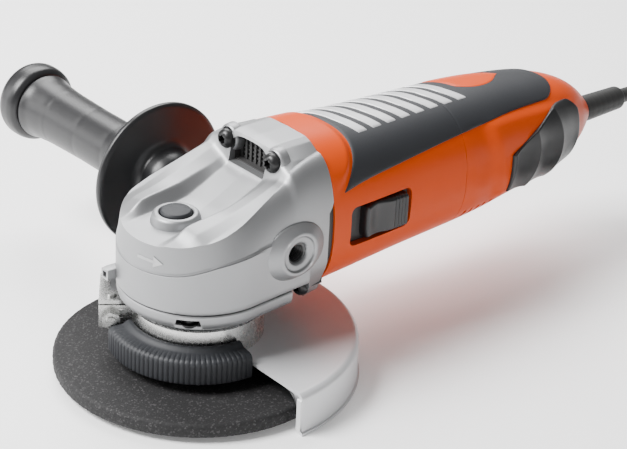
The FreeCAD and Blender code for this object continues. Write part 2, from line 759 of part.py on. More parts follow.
def make_housings():
    """Motor housing, rear cover, and the soft inlays on them."""
    depth = size("inlay_depth")
    wall = size("shell_wall")
    front_solid = hull(front_stations(), 0.0)
    front_core = hull(front_stations(), depth)
    rear_solid = hull(rear_stations(), 0.0)
    rear_core = hull(rear_stations(), depth)
    panel = panel_prism()
    joint = size("cover_joint")
    inside_front = hull(front_stations(), wall)
    inside_rear = hull(rear_stations(), wall).cut(block(Vector(209, -40, 0), Vector(230, 40, 100)))
    front_inlay = front_solid.common(panel).cut(front_core)
    rear_inlay = rear_solid.common(panel).cut(rear_core)
    shaped("top_panel_front", front_inlay)
    shaped("top_panel_rear", rear_inlay)
    pads = []
    for side, label in ((1, "grip_pad_left"), (-1, "grip_pad_right")):
        pad = rear_solid.common(grip_prism(side)).cut(rear_core).cut(panel_prism(0.5))
        shaped(label, pad)
        pads.append(pad)
    axis_z = size("motor_axis_z")
    # front flange ear with the long screws' threads, then the shell itself
    shell = front_solid.cut(inside_front).cut(front_inlay)
    pocket = block(Vector(50.5, -31.5, 47.3), Vector(85.5, -24.6, 66.2)).common(front_solid)
    shell = shell.fuse(pocket).cut(switch_window())
    shell = shell.cut(block(Vector(57, -30, 55), Vector(87, -20, 59)))
    for place in case_screw_places():
        stud = Vector(size("housing_front"), place.y, place.z)
        shell = shell.fuse(rod(4.0, 9.0, stud, X_AXIS).common(front_solid))
        shell = shell.cut(rod(2.0, 12.0, stud - X_AXIS * 1.0, X_AXIS))
    bed = ring(size("stator_radius") + 3.5, size("stator_radius"), 4.0, Vector(74, 0, axis_z), X_AXIS)
    bed = bed.fuse(ring(size("stator_radius") + 3.5, size("stator_radius"), 4.0,
                        Vector(98, 0, axis_z), X_AXIS))
    bed = bed.common(front_core).cut(block(Vector(60, -40, 52), Vector(117, -22.2, 62)))
    shell = shell.fuse(bed).cut(rod(size("stator_radius"), 60, Vector(60, 0, axis_z), X_AXIS))
    shell = shell.common(block(Vector(30, -60, 0), Vector(joint, 60, 120)))
    shaped("motor_housing", shell)
    cover = rear_solid.cut(inside_rear).cut(rear_inlay)
    for pad in pads:
        cover = cover.cut(pad)
    cover = cover.cut(rod(6.2, 30, Vector(200, 0, 55), X_AXIS))
    for index in range(4):
        for side in (1, -1):
            low = Vector(124 + 5 * index, side * 28 - 6, 34.5)
            cover = cover.cut(block(low, low + Vector(2.4, 12, 6.5)))
    screw = cover_screw_seat()
    cover = cover.cut(rod(2.0, 14, screw)).cut(rod(4.0, 4.0, screw - Z_AXIS * 4.0))
    shaped("rear_cover", cover)
    group("rear_cover_screw", pan_head_screw(3.6, 2.0, 2.0, 9), [along(Z_AXIS, screw)])


def make_air_baffle():
    """The black plate between gear case and motor housing that steers the cooling air."""
    wire = rounded_section(size("case_rear"), 29.6, 27.0, 91.0, 0.0)
    plate = Part.Face(wire).extrude(X_AXIS * (size("housing_front") - size("case_rear")))
    axis_z = size("motor_axis_z")
    plate = plate.cut(rod(12.0, 10, Vector(36, 0, axis_z), X_AXIS))
    for place in case_screw_places():
        plate = plate.cut(rod(2.0, 10, Vector(36, place.y, place.z), X_AXIS))
    for index in range(4):
        low = Vector(36, -8.5 + 4.6 * index, 80.5)
        plate = plate.cut(block(low, low + Vector(10, 3.2, 8)))
    shaped("air_baffle", plate)


# --------------------------------------------------------------------------------------- motor
def on_motor_axis(x):
    """The placement of a turned part whose Z axis is the motor axis, starting at x."""
    return along(X_AXIS, Vector(x, 0, size("motor_axis_z")))


def make_armature():
    """Shaft, laminated core, windings, commutator and fan."""
    turned("armature_shaft", [
        ("0", "19.5"), ("pinion_shaft", "19.5"), ("pinion_shaft", "31"), ("4", "31"),
        ("4", "41"), ("shaft_radius", "41"), ("shaft_radius", "rear_bearing_x - 1"),
        ("3.5", "rear_bearing_x - 1"), ("3.5", "rear_bearing_x + 7"),
        ("0", "rear_bearing_x + 7")], on_motor_axis(0))
    core = ring(size("core_radius"), size("shaft_radius"), size("core_rear") - size("core_front"),
                Vector(size("core_front"), 0, 0), X_AXIS)
    slots = 12
    for index in range(slots):
        slot = block(Vector(size("core_front") - 1, -0.8, size("core_radius") - 2.2),
                     Vector(size("core_rear") + 1, 0.8, size("core_radius") + 1))
        slot.rotate(Vector(), X_AXIS, index * 360.0 / slots)
        core = core.cut(slot)
    core.translate(Z_AXIS * size("motor_axis_z"))
    shaped("armature_core", core)
    front = ring(13.5, size("shaft_radius"), 7.0, Vector(size("core_front") - 7, 0, size("motor_axis_z")),
                 X_AXIS)
    rear = ring(13.5, size("shaft_radius"), 6.0, Vector(size("core_rear"), 0, size("motor_axis_z")),
                X_AXIS)
    shaped("armature_windings", Part.makeCompound([front, rear]))
    turned("commutator", [
        ("shaft_radius", "0"), ("10.4", "0"), ("10.4", "14"), ("shaft_radius", "14")],
        on_motor_axis(115))
    hub = ring(9.0, size("shaft_radius"), 9.0, Vector(48, 0, 0), X_AXIS)
    fan = hub.fuse(ring(23.0, size("shaft_radius"), 1.4, Vector(56, 0, 0), X_AXIS))
    blades = 11
    for index in range(blades):
        blade = block(Vector(49, -0.7, 8.0), Vector(56.2, 0.7, 22.6))
        blade.rotate(Vector(49, 0, 8), Z_AXIS, 12)
        blade.rotate(Vector(), X_AXIS, index * 360.0 / blades)
        fan = fan.fuse(blade)
    fan.translate(Z_AXIS * size("motor_axis_z"))
    shaped("cooling_fan", fan)


def make_motor_bearings():
    """The two ball bearings of the armature and the rubber bush round the rear one."""
    turned("front_bearing", [
        ("4.02", "0.4"), ("6.0", "0"), ("11", "0"), ("11", "7"), ("6.0", "7"), ("4.02", "6.6")],
        on_motor_axis(33))
    turned("rear_bearing", [
        ("3.52", "0.4"), ("5.2", "0"), ("9.5", "0"), ("9.5", "6"), ("5.2", "6"), ("3.52", "5.6")],
        on_motor_axis(size("rear_bearing_x")))
    turned("bearing_bush", [
        ("9.5", "0"), ("12", "0"), ("12", "6.8"), ("8", "6.8"), ("8", "6"), ("9.5", "6")],
        on_motor_axis(size("rear_bearing_x")))


def make_stator():
    """The laminated field core and its two coils."""
    axis_z = size("motor_axis_z")
    front = size("core_front")
    length = size("core_rear") - front
    core = ring(size("stator_radius"), size("stator_bore"), length, Vector(front, 0, axis_z), X_AXIS)
    shaped("stator_core", core)
    ends = []
    for start, depth in ((front - 7.0, 7.0), (size("core_rear"), 7.0)):
        tube = ring(22.0, size("stator_bore"), depth, Vector(start, 0, axis_z), X_AXIS)
        for side in (1, -1):
            low, high = sorted((axis_z + side * 6, axis_z + side * 30))
            ends.append(tube.common(block(Vector(0, -30, low), Vector(200, 30, high))))
    shaped("field_coils", Part.makeCompound(ends))


def make_brush_gear():
    """The carrier behind the commutator, the brush boxes, the carbon brushes and their springs."""
    axis_z = size("motor_axis_z")
    carrier = ring(22.0, 12.0, 2.6, Vector(130.5, 0, axis_z), X_AXIS)
    carrier = carrier.fuse(ring(14.5, 12.0, 10.3, Vector(130.5, 0, axis_z), X_AXIS))
    screw = cover_screw_seat()
    leg = block(Vector(screw.x - 4, -5, 28), Vector(screw.x + 4, 5, axis_z - 14))
    carrier = carrier.fuse(leg).common(hull(rear_stations(), size("shell_wall")))
    carrier = carrier.cut(rod(2.0, 14, screw)).cut(rod(12.0, 20, Vector(120, 0, axis_z), X_AXIS))
    shaped("brush_carrier", carrier)
    boxes = []
    springs = []
    for side, label in ((1, "brush_left"), (-1, "brush_right")):
        near, far = sorted((side * 11.6, side * 22.5))
        box = block(Vector(117.5, near, axis_z - 5), Vector(130.5, far, axis_z + 5))
        bore_near, bore_far = sorted((side * 10.0, side * 24.0))
        box = box.cut(block(Vector(119.0, bore_near, axis_z - 3.3),
                            Vector(127.2, bore_far, axis_z + 3.3)))
        boxes.append(box)
        brush_near, brush_far = sorted((side * 10.6, side * 18.2))
        shaped(label, block(Vector(119.1, brush_near, axis_z - 3.2),
                            Vector(127.1, brush_far, axis_z + 3.2)))
        springs.append(ring(2.6, 1.6, 1.6, Vector(123.1, side * 20.8, axis_z), Y_AXIS * side))
    shaped("brush_holders", Part.makeCompound(boxes))
    shaped("brush_springs", Part.makeCompound(springs))


# -------------------------------------------------------------------------- switch and mains lead
def make_switch():
    """Slide knob in the housing's window, the rod behind it and the switch in the rear cover."""
    knob = block(Vector(59.5, -31.6, 49.2), Vector(82.8, -27.9, 64.3))
    dish = rod(12.0, 20, Vector(66.5, -41.6, 47), Z_AXIS)
    knob = knob.cut(dish)
    for index in range(4):
        groove = block(Vector(74.6 + 2.0 * index, -32, 49), Vector(75.4 + 2.0 * index, -30.9, 65))
        knob = knob.cut(groove)
    outer, inner = -23.3, -22.5
    stem = block(Vector(68, -28.2, 55.3), Vector(76, outer, 58.7))
    shaped("switch_slider", knob.fuse(stem))
    rail = block(Vector(66, outer, 55.4), Vector(141, inner, 58.6))
    hook = block(Vector(140, outer, 55.4), Vector(141.2, -15.4, 58.6))
    leg = block(Vector(140, -16.4, 55.4), Vector(155.6, -15.4, 58.6))
    shaped("switch_rod", rail.fuse(hook).fuse(leg))
    body = block(Vector(156, -15, 48), Vector(182, 3, 66))
    shaped("switch_body", body)
    shaped("capacitor", block(Vector(148, 6, 50), Vector(176, 17, 66)))


def make_cord_entry():
    """The clamp that grips the lead inside the cover and the tapered sleeve outside it."""
    base = block(Vector(187, -9, 46), Vector(195, 9, 51.4))
    bridge = block(Vector(187, -9, 58.6), Vector(195, 9, 61.5))
    posts = block(Vector(187, -9, 51.4), Vector(195, -5, 58.6)).fuse(
        block(Vector(187, 5, 51.4), Vector(195, 9, 58.6)))
    clamp = base.fuse(bridge).fuse(posts).cut(rod(size("cord_radius") + 0.2, 20,
                                                  Vector(180, 0, 55), X_AXIS))
    shaped("cord_clamp", clamp)
    turned("strain_relief", [
        ("cord_radius", "0"), ("7.6", "0"), ("7.6", "3.4"), ("6.1", "3.4"), ("6.1", "9"),
        ("5.4", "12"), ("4.5", "42"), ("cord_radius", "42")],
        along(X_AXIS, Vector(202, 0, 55)))


CORD_ROUTE = [
    Vector(244, 0, 55), Vector(266, 0, 55), Vector(290, -8, 43), Vector(303, -28, 20),
    Vector(307, -53, 2.1), Vector(304, -79, 2.1)]

TAIL_ROUTE = [
    Vector(258, -124, 9.1), Vector(240, -126, 7.2), Vector(223, -122, 5.0), Vector(209, -117.5, 5.9)]


def arc_path(points, label):
    """Straight runs joined by tangent arcs, each as large as its two runs allow."""
    edges = []
    start = points[0]
    for index in range(1, len(points) - 1):
        corner = points[index]
        inward = corner - points[index - 1]
        outward = points[index + 1] - corner
        shorter = min(inward.Length, outward.Length)
        turn = inward.getAngle(outward)
        set_back = 0.45 * shorter
        radius = set_back / math.tan(turn / 2)
        first = corner - Vector(inward).normalize() * set_back
        last = corner + Vector(outward).normalize() * set_back
        towards = (Vector(outward).normalize() - Vector(inward).normalize()).normalize()
        centre_distance = radius / math.cos(turn / 2)
        middle = corner + towards * (centre_distance - radius)
        print(f"{label}: turn {math.degrees(turn):.0f} degrees, radius {radius:.1f} mm")
        edges.append(Part.LineSegment(start, first).toShape())
        edges.append(Part.Arc(first, middle, last).toShape())
        start = last
    edges.append(Part.LineSegment(start, points[-1]).toShape())
    return Part.Wire(edges)


def cord_tube(points, label):
    """The lead's plain round tube along a route."""
    path = arc_path(points, label)
    direction = points[1] - points[0]
    profile = Part.Wire(Part.Circle(points[0], direction, size("cord_radius")).toShape())
    tube = path.makePipeShell([profile], True, True)
    expected = math.pi * size("cord_radius") ** 2 * path.Length
    print(f"{label}: length {path.Length:.1f} mm, volume {tube.Volume:.0f} of {expected:.0f}")
    return tube


def make_mains_lead():
    """The free lead, its put-away coil with a tie, and the two-pin plug."""
    inside = rod(size("cord_radius"), 56, Vector(188, 0, 55), X_AXIS)
    lead = cord_tube(CORD_ROUTE, "lead")
    tail = cord_tube(TAIL_ROUTE, "tail")
    shaped("cord_inner_end", inside)
    centre = Vector(size("coil_x"), size("coil_y"), size("floor_z") + size("tie_thickness"))
    outer = size("coil_inner_turn") + 2 * size("turn_pitch") + size("cord_radius")
    inner = size("coil_inner_turn") - size("cord_radius")
    shaped("cord_lead", Part.makeCompound([lead, tail]))
    shaped("cord_coil", ring(outer, inner, 2 * size("turn_pitch"), centre))
    gap = size("tie_thickness")
    low = Vector(inner - gap, -7, 0)
    high = Vector(outer + gap, 7, 2 * size("turn_pitch") + 2 * gap)
    tie = block(low, high)
    tie.rotate(Vector(), Z_AXIS, 135)
    tie.translate(Vector(size("coil_x"), size("coil_y"), size("floor_z")))
    tie = tie.cut(ring(outer, inner, 2 * size("turn_pitch"), centre))
    shaped("coil_tie", tie)
    middle_z = size("floor_z") + 8.0
    body = block(Vector(167, -134, size("floor_z")), Vector(201, -101, size("floor_z") + 16))
    body = body.makeFillet(5.0, body.Edges)
    neck = rod(5.0, 11, Vector(199, -117.5, middle_z), X_AXIS)
    shaped("plug_body", body.fuse(neck))
    pin = rod(size("plug_pin_radius"), size("plug_pin_length"), Vector())
    spots = [along(X_AXIS * -1, Vector(167, -117.5 + side * 9.5, middle_z)) for side in (1, -1)]
    group("plug_pins", pin, spots)


# --------------------------------------------------------------------------------- side handle
def make_side_handle():
    """The screw-in side handle: steel stud, moulded grip with finger guard, and end cap."""
    start = along(Y_AXIS, Vector(size("handle_x"), 0, size("handle_z")))
    turned("handle_stud", [
        ("0", "20"), ("handle_thread", "20"), ("handle_thread", "36"), ("5.5", "36"),
        ("5.5", "40"), ("handle_thread", "40"), ("handle_thread", "70"), ("0", "70")], start)
    turned("handle_grip", [
        ("handle_thread", "40"), ("10", "40"), ("12", "43"), ("13", "51.5"), ("29", "52.6"),
        ("31", "54"), ("31", "55.6"), ("29", "57"), ("14.5", "58.5"), ("12.6", "64"),
        ("12", "82"), ("12", "112"), ("12.8", "132"), ("15.5", "143"), ("11", "143"),
        ("11", "70"), ("handle_thread", "70")], start)
    turned("handle_end_cap", [
        ("0", "138"), ("10.8", "138"), ("10.8", "143"), ("16", "143"), ("17", "145"),
        ("17", "149"), ("15.5", "151"), ("0", "151.5")], start)


# ------------------------------------------------------------------------------------ everything
def build():
    """Make every sub-part in order."""
    make_grinding_disc()
    make_inner_flange()
    make_lock_nut()
    make_spindle()
    make_spindle_bearing()
    make_upper_bush()
    make_crown_gear()
    make_pinion_gear()
    make_gear_case()
    make_bearing_flange()
    make_case_screws()
    make_spindle_lock()
    make_guard()
    make_housings()
    make_air_baffle()
    make_armature()
    make_motor_bearings()
    make_stator()
    make_brush_gear()
    make_switch()
    make_cord_entry()
    make_mains_lead()
    make_side_handle()


def check_all():
    """Stop if any object failed or any sub-part is not one or more valid closed solids."""
    document.recompute()
    for item in document.Objects:
        if "Invalid" in item.State or "Error" in item.State:
            raise RuntimeError(f"{item.Label} failed: {item.State}")
    for item in nodes:
        shape = item.Shape
        if shape.isNull() or not shape.isValid() or not shape.Solids:
            raise RuntimeError(f"{item.Label} has no valid shape")
        box = shape.BoundBox
        print(f"{item.Label:24s} {len(shape.Solids)} solid(s) {shape.Volume:10.1f} mm3 "
              f"x {box.XMin:.1f}..{box.XMax:.1f} y {box.YMin:.1f}..{box.YMax:.1f} "
              f"z {box.ZMin:.1f}..{box.ZMax:.1f}")


def write_all():
    """Write one STEP file per sub-part."""
    os.makedirs("parts", exist_ok=True)
    for item in nodes:
        item.Shape.exportStep(f"parts/{item.Label}.step")


build()
check_all()
write_all()
print(len(nodes), "sub-parts written")
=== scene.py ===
"""Angle grinder with a silver gear case, orange motor housing, soft black panels and side handle.

The frame gives the sizes and the moving bodies. Each sub-assembly below is a class that works out
its surfaces with numpy in millimetres, in the frame's own axes, and dresses them with procedural
finishes.
"""

import json
import logging
import math
from dataclasses import dataclass, field
from enum import Enum
from typing import Callable, Sequence

import bmesh
import bpy
import numpy as np
from mathutils import Matrix, Vector

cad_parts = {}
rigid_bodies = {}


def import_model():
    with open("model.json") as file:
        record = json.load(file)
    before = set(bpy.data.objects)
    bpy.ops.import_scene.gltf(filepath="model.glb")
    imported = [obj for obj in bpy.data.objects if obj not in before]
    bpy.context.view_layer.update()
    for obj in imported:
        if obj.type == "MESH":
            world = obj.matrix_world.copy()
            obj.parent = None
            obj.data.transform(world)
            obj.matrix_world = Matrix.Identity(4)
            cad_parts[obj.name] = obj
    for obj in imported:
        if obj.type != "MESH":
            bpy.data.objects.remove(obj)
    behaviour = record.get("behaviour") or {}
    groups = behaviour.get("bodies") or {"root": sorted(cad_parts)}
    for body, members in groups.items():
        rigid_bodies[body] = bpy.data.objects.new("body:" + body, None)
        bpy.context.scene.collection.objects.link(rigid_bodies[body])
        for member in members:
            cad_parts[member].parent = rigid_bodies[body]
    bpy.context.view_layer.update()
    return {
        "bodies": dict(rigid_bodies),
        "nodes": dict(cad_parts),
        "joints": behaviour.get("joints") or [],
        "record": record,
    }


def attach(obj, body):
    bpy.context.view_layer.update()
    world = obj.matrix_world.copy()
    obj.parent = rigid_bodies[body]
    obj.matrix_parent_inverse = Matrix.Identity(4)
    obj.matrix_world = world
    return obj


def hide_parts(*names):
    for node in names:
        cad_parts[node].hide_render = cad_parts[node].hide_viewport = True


Array = np.ndarray
Point = tuple[float, float, float]
Colour = tuple[float, float, float]
Pairs = Sequence[tuple[float, float]]
Bend = Callable[[Array, Array, Array], tuple[Array, Array]]

MM = 0.001
TAU = 2.0 * math.pi
LOG = logging.getLogger("grinder")

AXIS_HEIGHT = 57.0
SEAM_X = 40.0
NOSE_RADIUS = 32.5
SEAM_HALF_WIDTH = 30.2
CREASE = 32.0
WELD_DISTANCE = 2e-6
SHORTEST_EDGE = 1e-7
SHELL_JOINT_X = 117.5
COVER_END_X = 213.0


class Side(Enum):
    """The two long sides of the tool."""

    LEFT = 1
    RIGHT = -1


class Way(Enum):
    """The axis that a turned shape is made about."""

    X = (1.0, 0.0, 0.0)
    Y = (0.0, 1.0, 0.0)
    Z = (0.0, 0.0, 1.0)
    FORWARD = (-1.0, 0.0, 0.0)
    OUT_RIGHT = (0.0, -1.0, 0.0)


# ------------------------------------------------------------------------------ curves and grids
def ease(value: Array | float, low: float, high: float) -> Array:
    """Rise from 0 at low to 1 at high along 3t^2 - 2t^3.

    Args:
        value: where to read the curve.
        low: where the rise starts.
        high: where the rise ends.

    Returns:
        The height of the curve at each value.
    """
    t = np.clip((np.asarray(value, float) - low) / (high - low), 0.0, 1.0)
    return t * t * (3.0 - 2.0 * t)


def through(value: Array | float, stations: Sequence[float], heights: Sequence[float]) -> Array:
    """Carry a smooth curve through stations without overshoot.

    Each stretch is a cubic whose end slopes are the harmonic mean of the neighbouring slopes, or
    nought where those slopes have different signs.

    Args:
        value: where to read the curve.
        stations: rising positions.
        heights: the curve's height at each station.

    Returns:
        The height of the curve at each value, level beyond both ends.
    """
    xs = np.asarray(stations, float)
    ys = np.asarray(heights, float)
    run = np.diff(xs)
    rise = np.diff(ys) / run
    product = rise[:-1] * rise[1:]
    mean = np.where(product > 0, 2.0 * product / np.where(product > 0, rise[:-1] + rise[1:], 1.0),
                    0.0)
    slope = np.concatenate([rise[:1], mean, rise[-1:]])
    v = np.clip(np.asarray(value, float), xs[0], xs[-1])
    k = np.clip(np.searchsorted(xs, v, side="right") - 1, 0, len(run) - 1)
    h = run[k]
    t = (v - xs[k]) / h
    return (ys[k] * (1 + 2 * t) * (1 - t) ** 2 + slope[k] * h * t * (1 - t) ** 2
            + ys[k + 1] * t * t * (3 - 2 * t) + slope[k + 1] * h * t * t * (t - 1))


def signed_power(value: Array, power: float | Array) -> Array:
    """Raise the size of a value to a power and keep its sign."""
    return np.sign(value) * np.abs(value) ** power


def grid_faces(rows: int, columns: int, offset: int = 0, close_columns: bool = False) -> Array:
    """List the quads of a grid of points.

    Args:
        rows: number of rows.
        columns: number of columns.
        offset: index of the grid's first point.
        close_columns: join the last column to the first.

    Returns:
        One row of four indices for each quad.
    """
    last = columns if close_columns else columns - 1
    r, c = np.meshgrid(np.arange(rows - 1), np.arange(last), indexing="ij")
    n = (c + 1) % columns
    quads = np.stack([r * columns + c, r * columns + n, (r + 1) * columns + n,
                      (r + 1) * columns + c], -1)
    return quads.reshape(-1, 4) + offset


def unit_square(rows: int, columns: int) -> tuple[Array, Array]:
    """Two steps from 0 to 1, down the rows and across the columns, that broadcast together."""
    return np.linspace(0.0, 1.0, rows)[:, None], np.linspace(0.0, 1.0, columns)[None, :]


def rim_order(rows: int, columns: int) -> Array:
    """List the points round the rim of a grid, in order."""
    index = np.arange(rows * columns).reshape(rows, columns)
    return np.concatenate([index[0, :-1], index[:-1, -1], index[-1, :0:-1], index[:0:-1, 0]])


def as_object(name: str, points: Array, faces: Array | list[list[int]],
              crease: float | None = CREASE,
              weld: bool = True) -> bpy.types.Object:
    """Put points in millimetres into a closed mesh whose faces point outwards.

    Args:
        name: name of the new object.
        points: one row of x, y, z for each point.
        faces: one row of point indices for each face.
        crease: angle in degrees past which an edge stays sharp, or None for flat faces.
        weld: join points that coincide.

    Returns:
        The new object, at the origin.
    """
    mesh = bpy.data.meshes.new(name)
    rows = [list(map(int, face)) for face in faces]
    mesh.from_pydata((np.asarray(points, float).reshape(-1, 3) * MM).tolist(), [], rows)
    work = bmesh.new()
    work.from_mesh(mesh)
    if weld:
        bmesh.ops.remove_doubles(work, verts=work.verts, dist=WELD_DISTANCE)
        bmesh.ops.dissolve_degenerate(work, edges=work.edges, dist=SHORTEST_EDGE)
    bmesh.ops.recalc_face_normals(work, faces=work.faces)
    work.to_mesh(mesh)
    work.free()
    if crease is not None:
        mesh.shade_smooth()
        mesh.set_sharp_from_angle(angle=math.radians(crease))
    thing = bpy.data.objects.new(name, mesh)
    bpy.context.collection.objects.link(thing)
    return thing


def prism(name: str, ends: Sequence[Array], crease: float | None = CREASE) -> bpy.types.Object:
    """Join two matching loops of points with walls and close both ends."""
    count = len(ends[0])
    index = np.arange(count)
    nxt = (index + 1) % count
    walls = np.stack([index, nxt, nxt + count, index + count], -1).tolist()
    caps = [index[::-1].tolist(), (index + count).tolist()]
    return as_object(name, np.concatenate(ends), walls + caps, crease, weld=False)


def ends_to_centre(points: Array) -> Array:
    """Close a grid of points at both ends with a row that lies on the tool's centre plane."""
    caps = [points[row].copy() for row in (0, -1)]
    for cap in caps:
        cap[:, 1] = 0.0
    return np.concatenate([caps[0][None], points, caps[1][None]])


def sheet_pair(name: str, outer: Array, inner: Array, crease: float = CREASE) -> bpy.types.Object:
    """Close two matching grids of points, an outer and an inner one, into one solid piece."""
    rows, columns = outer.shape[:2]
    count = rows * columns
    rim = rim_order(rows, columns)
    nxt = np.roll(rim, -1)
    walls = np.stack([rim, nxt, nxt + count, rim + count], -1)
    faces = np.concatenate([grid_faces(rows, columns), grid_faces(rows, columns, count)[:, ::-1],
                            walls])
    return as_object(name, np.concatenate([outer.reshape(-1, 3), inner.reshape(-1, 3)]), faces,
                     crease)


def frame_along(way: Way) -> tuple[Array, Array, Array]:
    """Two cross directions and the direction itself, for a turned shape."""
    axis = np.array(way.value)
    first = np.array([0.0, 0.0, 1.0]) if abs(axis[2]) < 0.5 else np.array([1.0, 0.0, 0.0])
    return first, np.cross(axis, first), axis


def turned(name: str, profile: Pairs, base: Point, way: Way = Way.Z,
           steps: int = 96, shape: Bend | None = None, crease: float = CREASE) -> bpy.types.Object:
    """Turn a profile about an axis: point = base + height * axis + radius * (cos a, sin a).

    Args:
        name: name of the new object.
        profile: radius and height pairs, from the axis round to the axis again.
        base: where height is nought.
        way: the axis.
        steps: divisions of the full turn.
        shape: changes radius and height as a function of radius, height and angle.
        crease: angle in degrees past which an edge stays sharp.

    Returns:
        The closed turned piece.
    """
    first, second, axis = frame_along(way)
    outline = np.array(profile, float)
    angle = np.linspace(0.0, TAU, steps, endpoint=False)[None, :]
    radius = np.broadcast_to(outline[:, :1], (len(outline), steps)).copy()
    height = np.broadcast_to(outline[:, 1:], (len(outline), steps)).copy()
    if shape is not None:
        radius, height = shape(radius, height, np.broadcast_to(angle, radius.shape))
    points = (np.array(base) + height[..., None] * axis
              + (radius * np.cos(angle))[..., None] * first + (radius * np.sin(angle))[..., None]
              * second)
    return as_object(name, points, grid_faces(len(outline), steps, close_columns=True), crease)


def dense(profile: Pairs, step: float = 1.0) -> list[tuple[float, float]]:
    """Divide a profile's straight runs into short ones no longer than step."""
    points = [np.array(profile[0], float)]
    for start, end in zip(profile, profile[1:]):
        a, b = np.array(start, float), np.array(end, float)
        count = max(1, int(math.ceil(np.linalg.norm(b - a) / step)))
        points += [a + (b - a) * k / count for k in range(1, count + 1)]
    return [tuple(p) for p in points]


def rounded(profile: Pairs, radius: float,
            steps: int = 4) -> list[tuple[float, float]]:
    """Round a profile's inner corners with quadratic arcs.

    A corner P between A and B becomes (1-t)^2 A' + 2t(1-t) P + t^2 B', where A' and B' lie on the
    two runs, radius or a little under half a run away from P.
    """
    corners = [np.array(p, float) for p in profile]
    out = [tuple(corners[0])]
    for before, here, after in zip(corners, corners[1:], corners[2:]):
        back, ahead = before - here, after - here
        reach = min(radius, 0.45 * np.linalg.norm(back), 0.45 * np.linalg.norm(ahead))
        a = here + back / np.linalg.norm(back) * reach
        b = here + ahead / np.linalg.norm(ahead) * reach
        for t in np.linspace(0.0, 1.0, steps + 1):
            out.append(tuple((1 - t) ** 2 * a + 2 * t * (1 - t) * here + t * t * b))
    out.append(tuple(corners[-1]))
    return out


def swept_loop(name: str, outline: Pairs, low: float, high: float,
               way: Way) -> bpy.types.Object:
    """Carry a closed flat outline straight along an axis from low to high and cap both ends."""
    first, second, axis = frame_along(way)
    flat = np.array(outline, float)
    ring = flat[:, :1] * first + flat[:, 1:] * second
    return prism(name, (ring + low * axis, ring + high * axis))


def block(name: str, half: tuple[float, float], corner: float, steps: int,
          middle: tuple[float, float],
          low: float, high: float, way: Way = Way.X) -> bpy.types.Object:
    """A bar with a soft rectangle as its section, from low to high along an axis."""
    return swept_loop(name, soft_rectangle(*half, corner, steps, middle), low, high, way)


def soft_rectangle(half_a: float, half_b: float, corner: float, steps: int = 5,
                   middle: tuple[float, float] = (0.0, 0.0)) -> list[tuple[float, float]]:
    """A rectangle's outline with round corners, as flat points about its middle."""
    out = []
    for sign_a, sign_b, start in ((1, 1, 0), (-1, 1, 90), (-1, -1, 180), (1, -1, 270)):
        for k in range(steps + 1):
            a = math.radians(start + 90.0 * k / steps)
            out.append((middle[0] + sign_a * (half_a - corner) + corner * math.cos(a),
                        middle[1] + sign_b * (half_b - corner) + corner * math.sin(a)))
    return out


def carve(piece: bpy.types.Object, *cutters: bpy.types.Object) -> None:
    """Cut closed shapes out of a piece and throw the shapes away."""
    for cutter in cutters:
        change = piece.modifiers.new("carve", "BOOLEAN")
        change.operation = "DIFFERENCE"
        change.solver = "EXACT"
        change.object = cutter
    bpy.context.view_layer.update()
    graph = bpy.context.evaluated_depsgraph_get()
    fresh = bpy.data.meshes.new_from_object(piece.evaluated_get(graph))
    piece.modifiers.clear()
    old = piece.data
    piece.data = fresh
    fresh.name = piece.name
    bpy.data.meshes.remove(old)
    for cutter in cutters:
        bpy.data.objects.remove(cutter)
    fresh.shade_smooth()
    fresh.set_sharp_from_angle(angle=math.radians(CREASE))


def merged(name: str, pieces: Sequence[bpy.types.Object]) -> bpy.types.Object:
    """Gather several pieces of one kind into one object."""
    mesh = bpy.data.meshes.new(name)
    work = bmesh.new()
    for piece in pieces:
        work.from_mesh(piece.data)
        bpy.data.objects.remove(piece)
    work.to_mesh(mesh)
    work.free()
    mesh.set_sharp_from_angle(angle=math.radians(CREASE))
    thing = bpy.data.objects.new(name, mesh)
    bpy.context.collection.objects.link(thing)
    return thing


# ------------------------------------------------------------------------------------- finishes
@dataclass(frozen=True)
class Finish:
    """One finish: its slot in the record, colours, gloss, and the grain that breaks it up.

    Attributes:
        name: the material's name.
        slot: the record's material slot.
        base: main colour.
        shade: colour of the cloudy variation.
        edge: colour where corners are rubbed.
        metallic: 0 for plastic and paint, 1 for bare metal.
        roughness: lowest roughness.
        spread: how far the grain raises the roughness.
        cloud: size of the cloudy variation in millimetres.
        grain: size of the grain in millimetres.
        depth: height of the grain's bump in millimetres.
        rub: how strongly corners show the edge colour.
        streak: stretch of the grain, for brushed or turned surfaces.
        fleck: share of bright flecks.
        gloss: specular level of a surface that isn't metal.
    """

    name: str
    slot: str
    base: Colour
    shade: Colour
    edge: Colour
    metallic: float = 0.0
    roughness: float = 0.4
    spread: float = 0.15
    cloud: float = 22.0
    grain: float = 0.5
    depth: float = 0.02
    rub: float = 0.3
    streak: Point = (1.0, 1.0, 1.0)
    fleck: float = 0.0
    gloss: float = 0.5


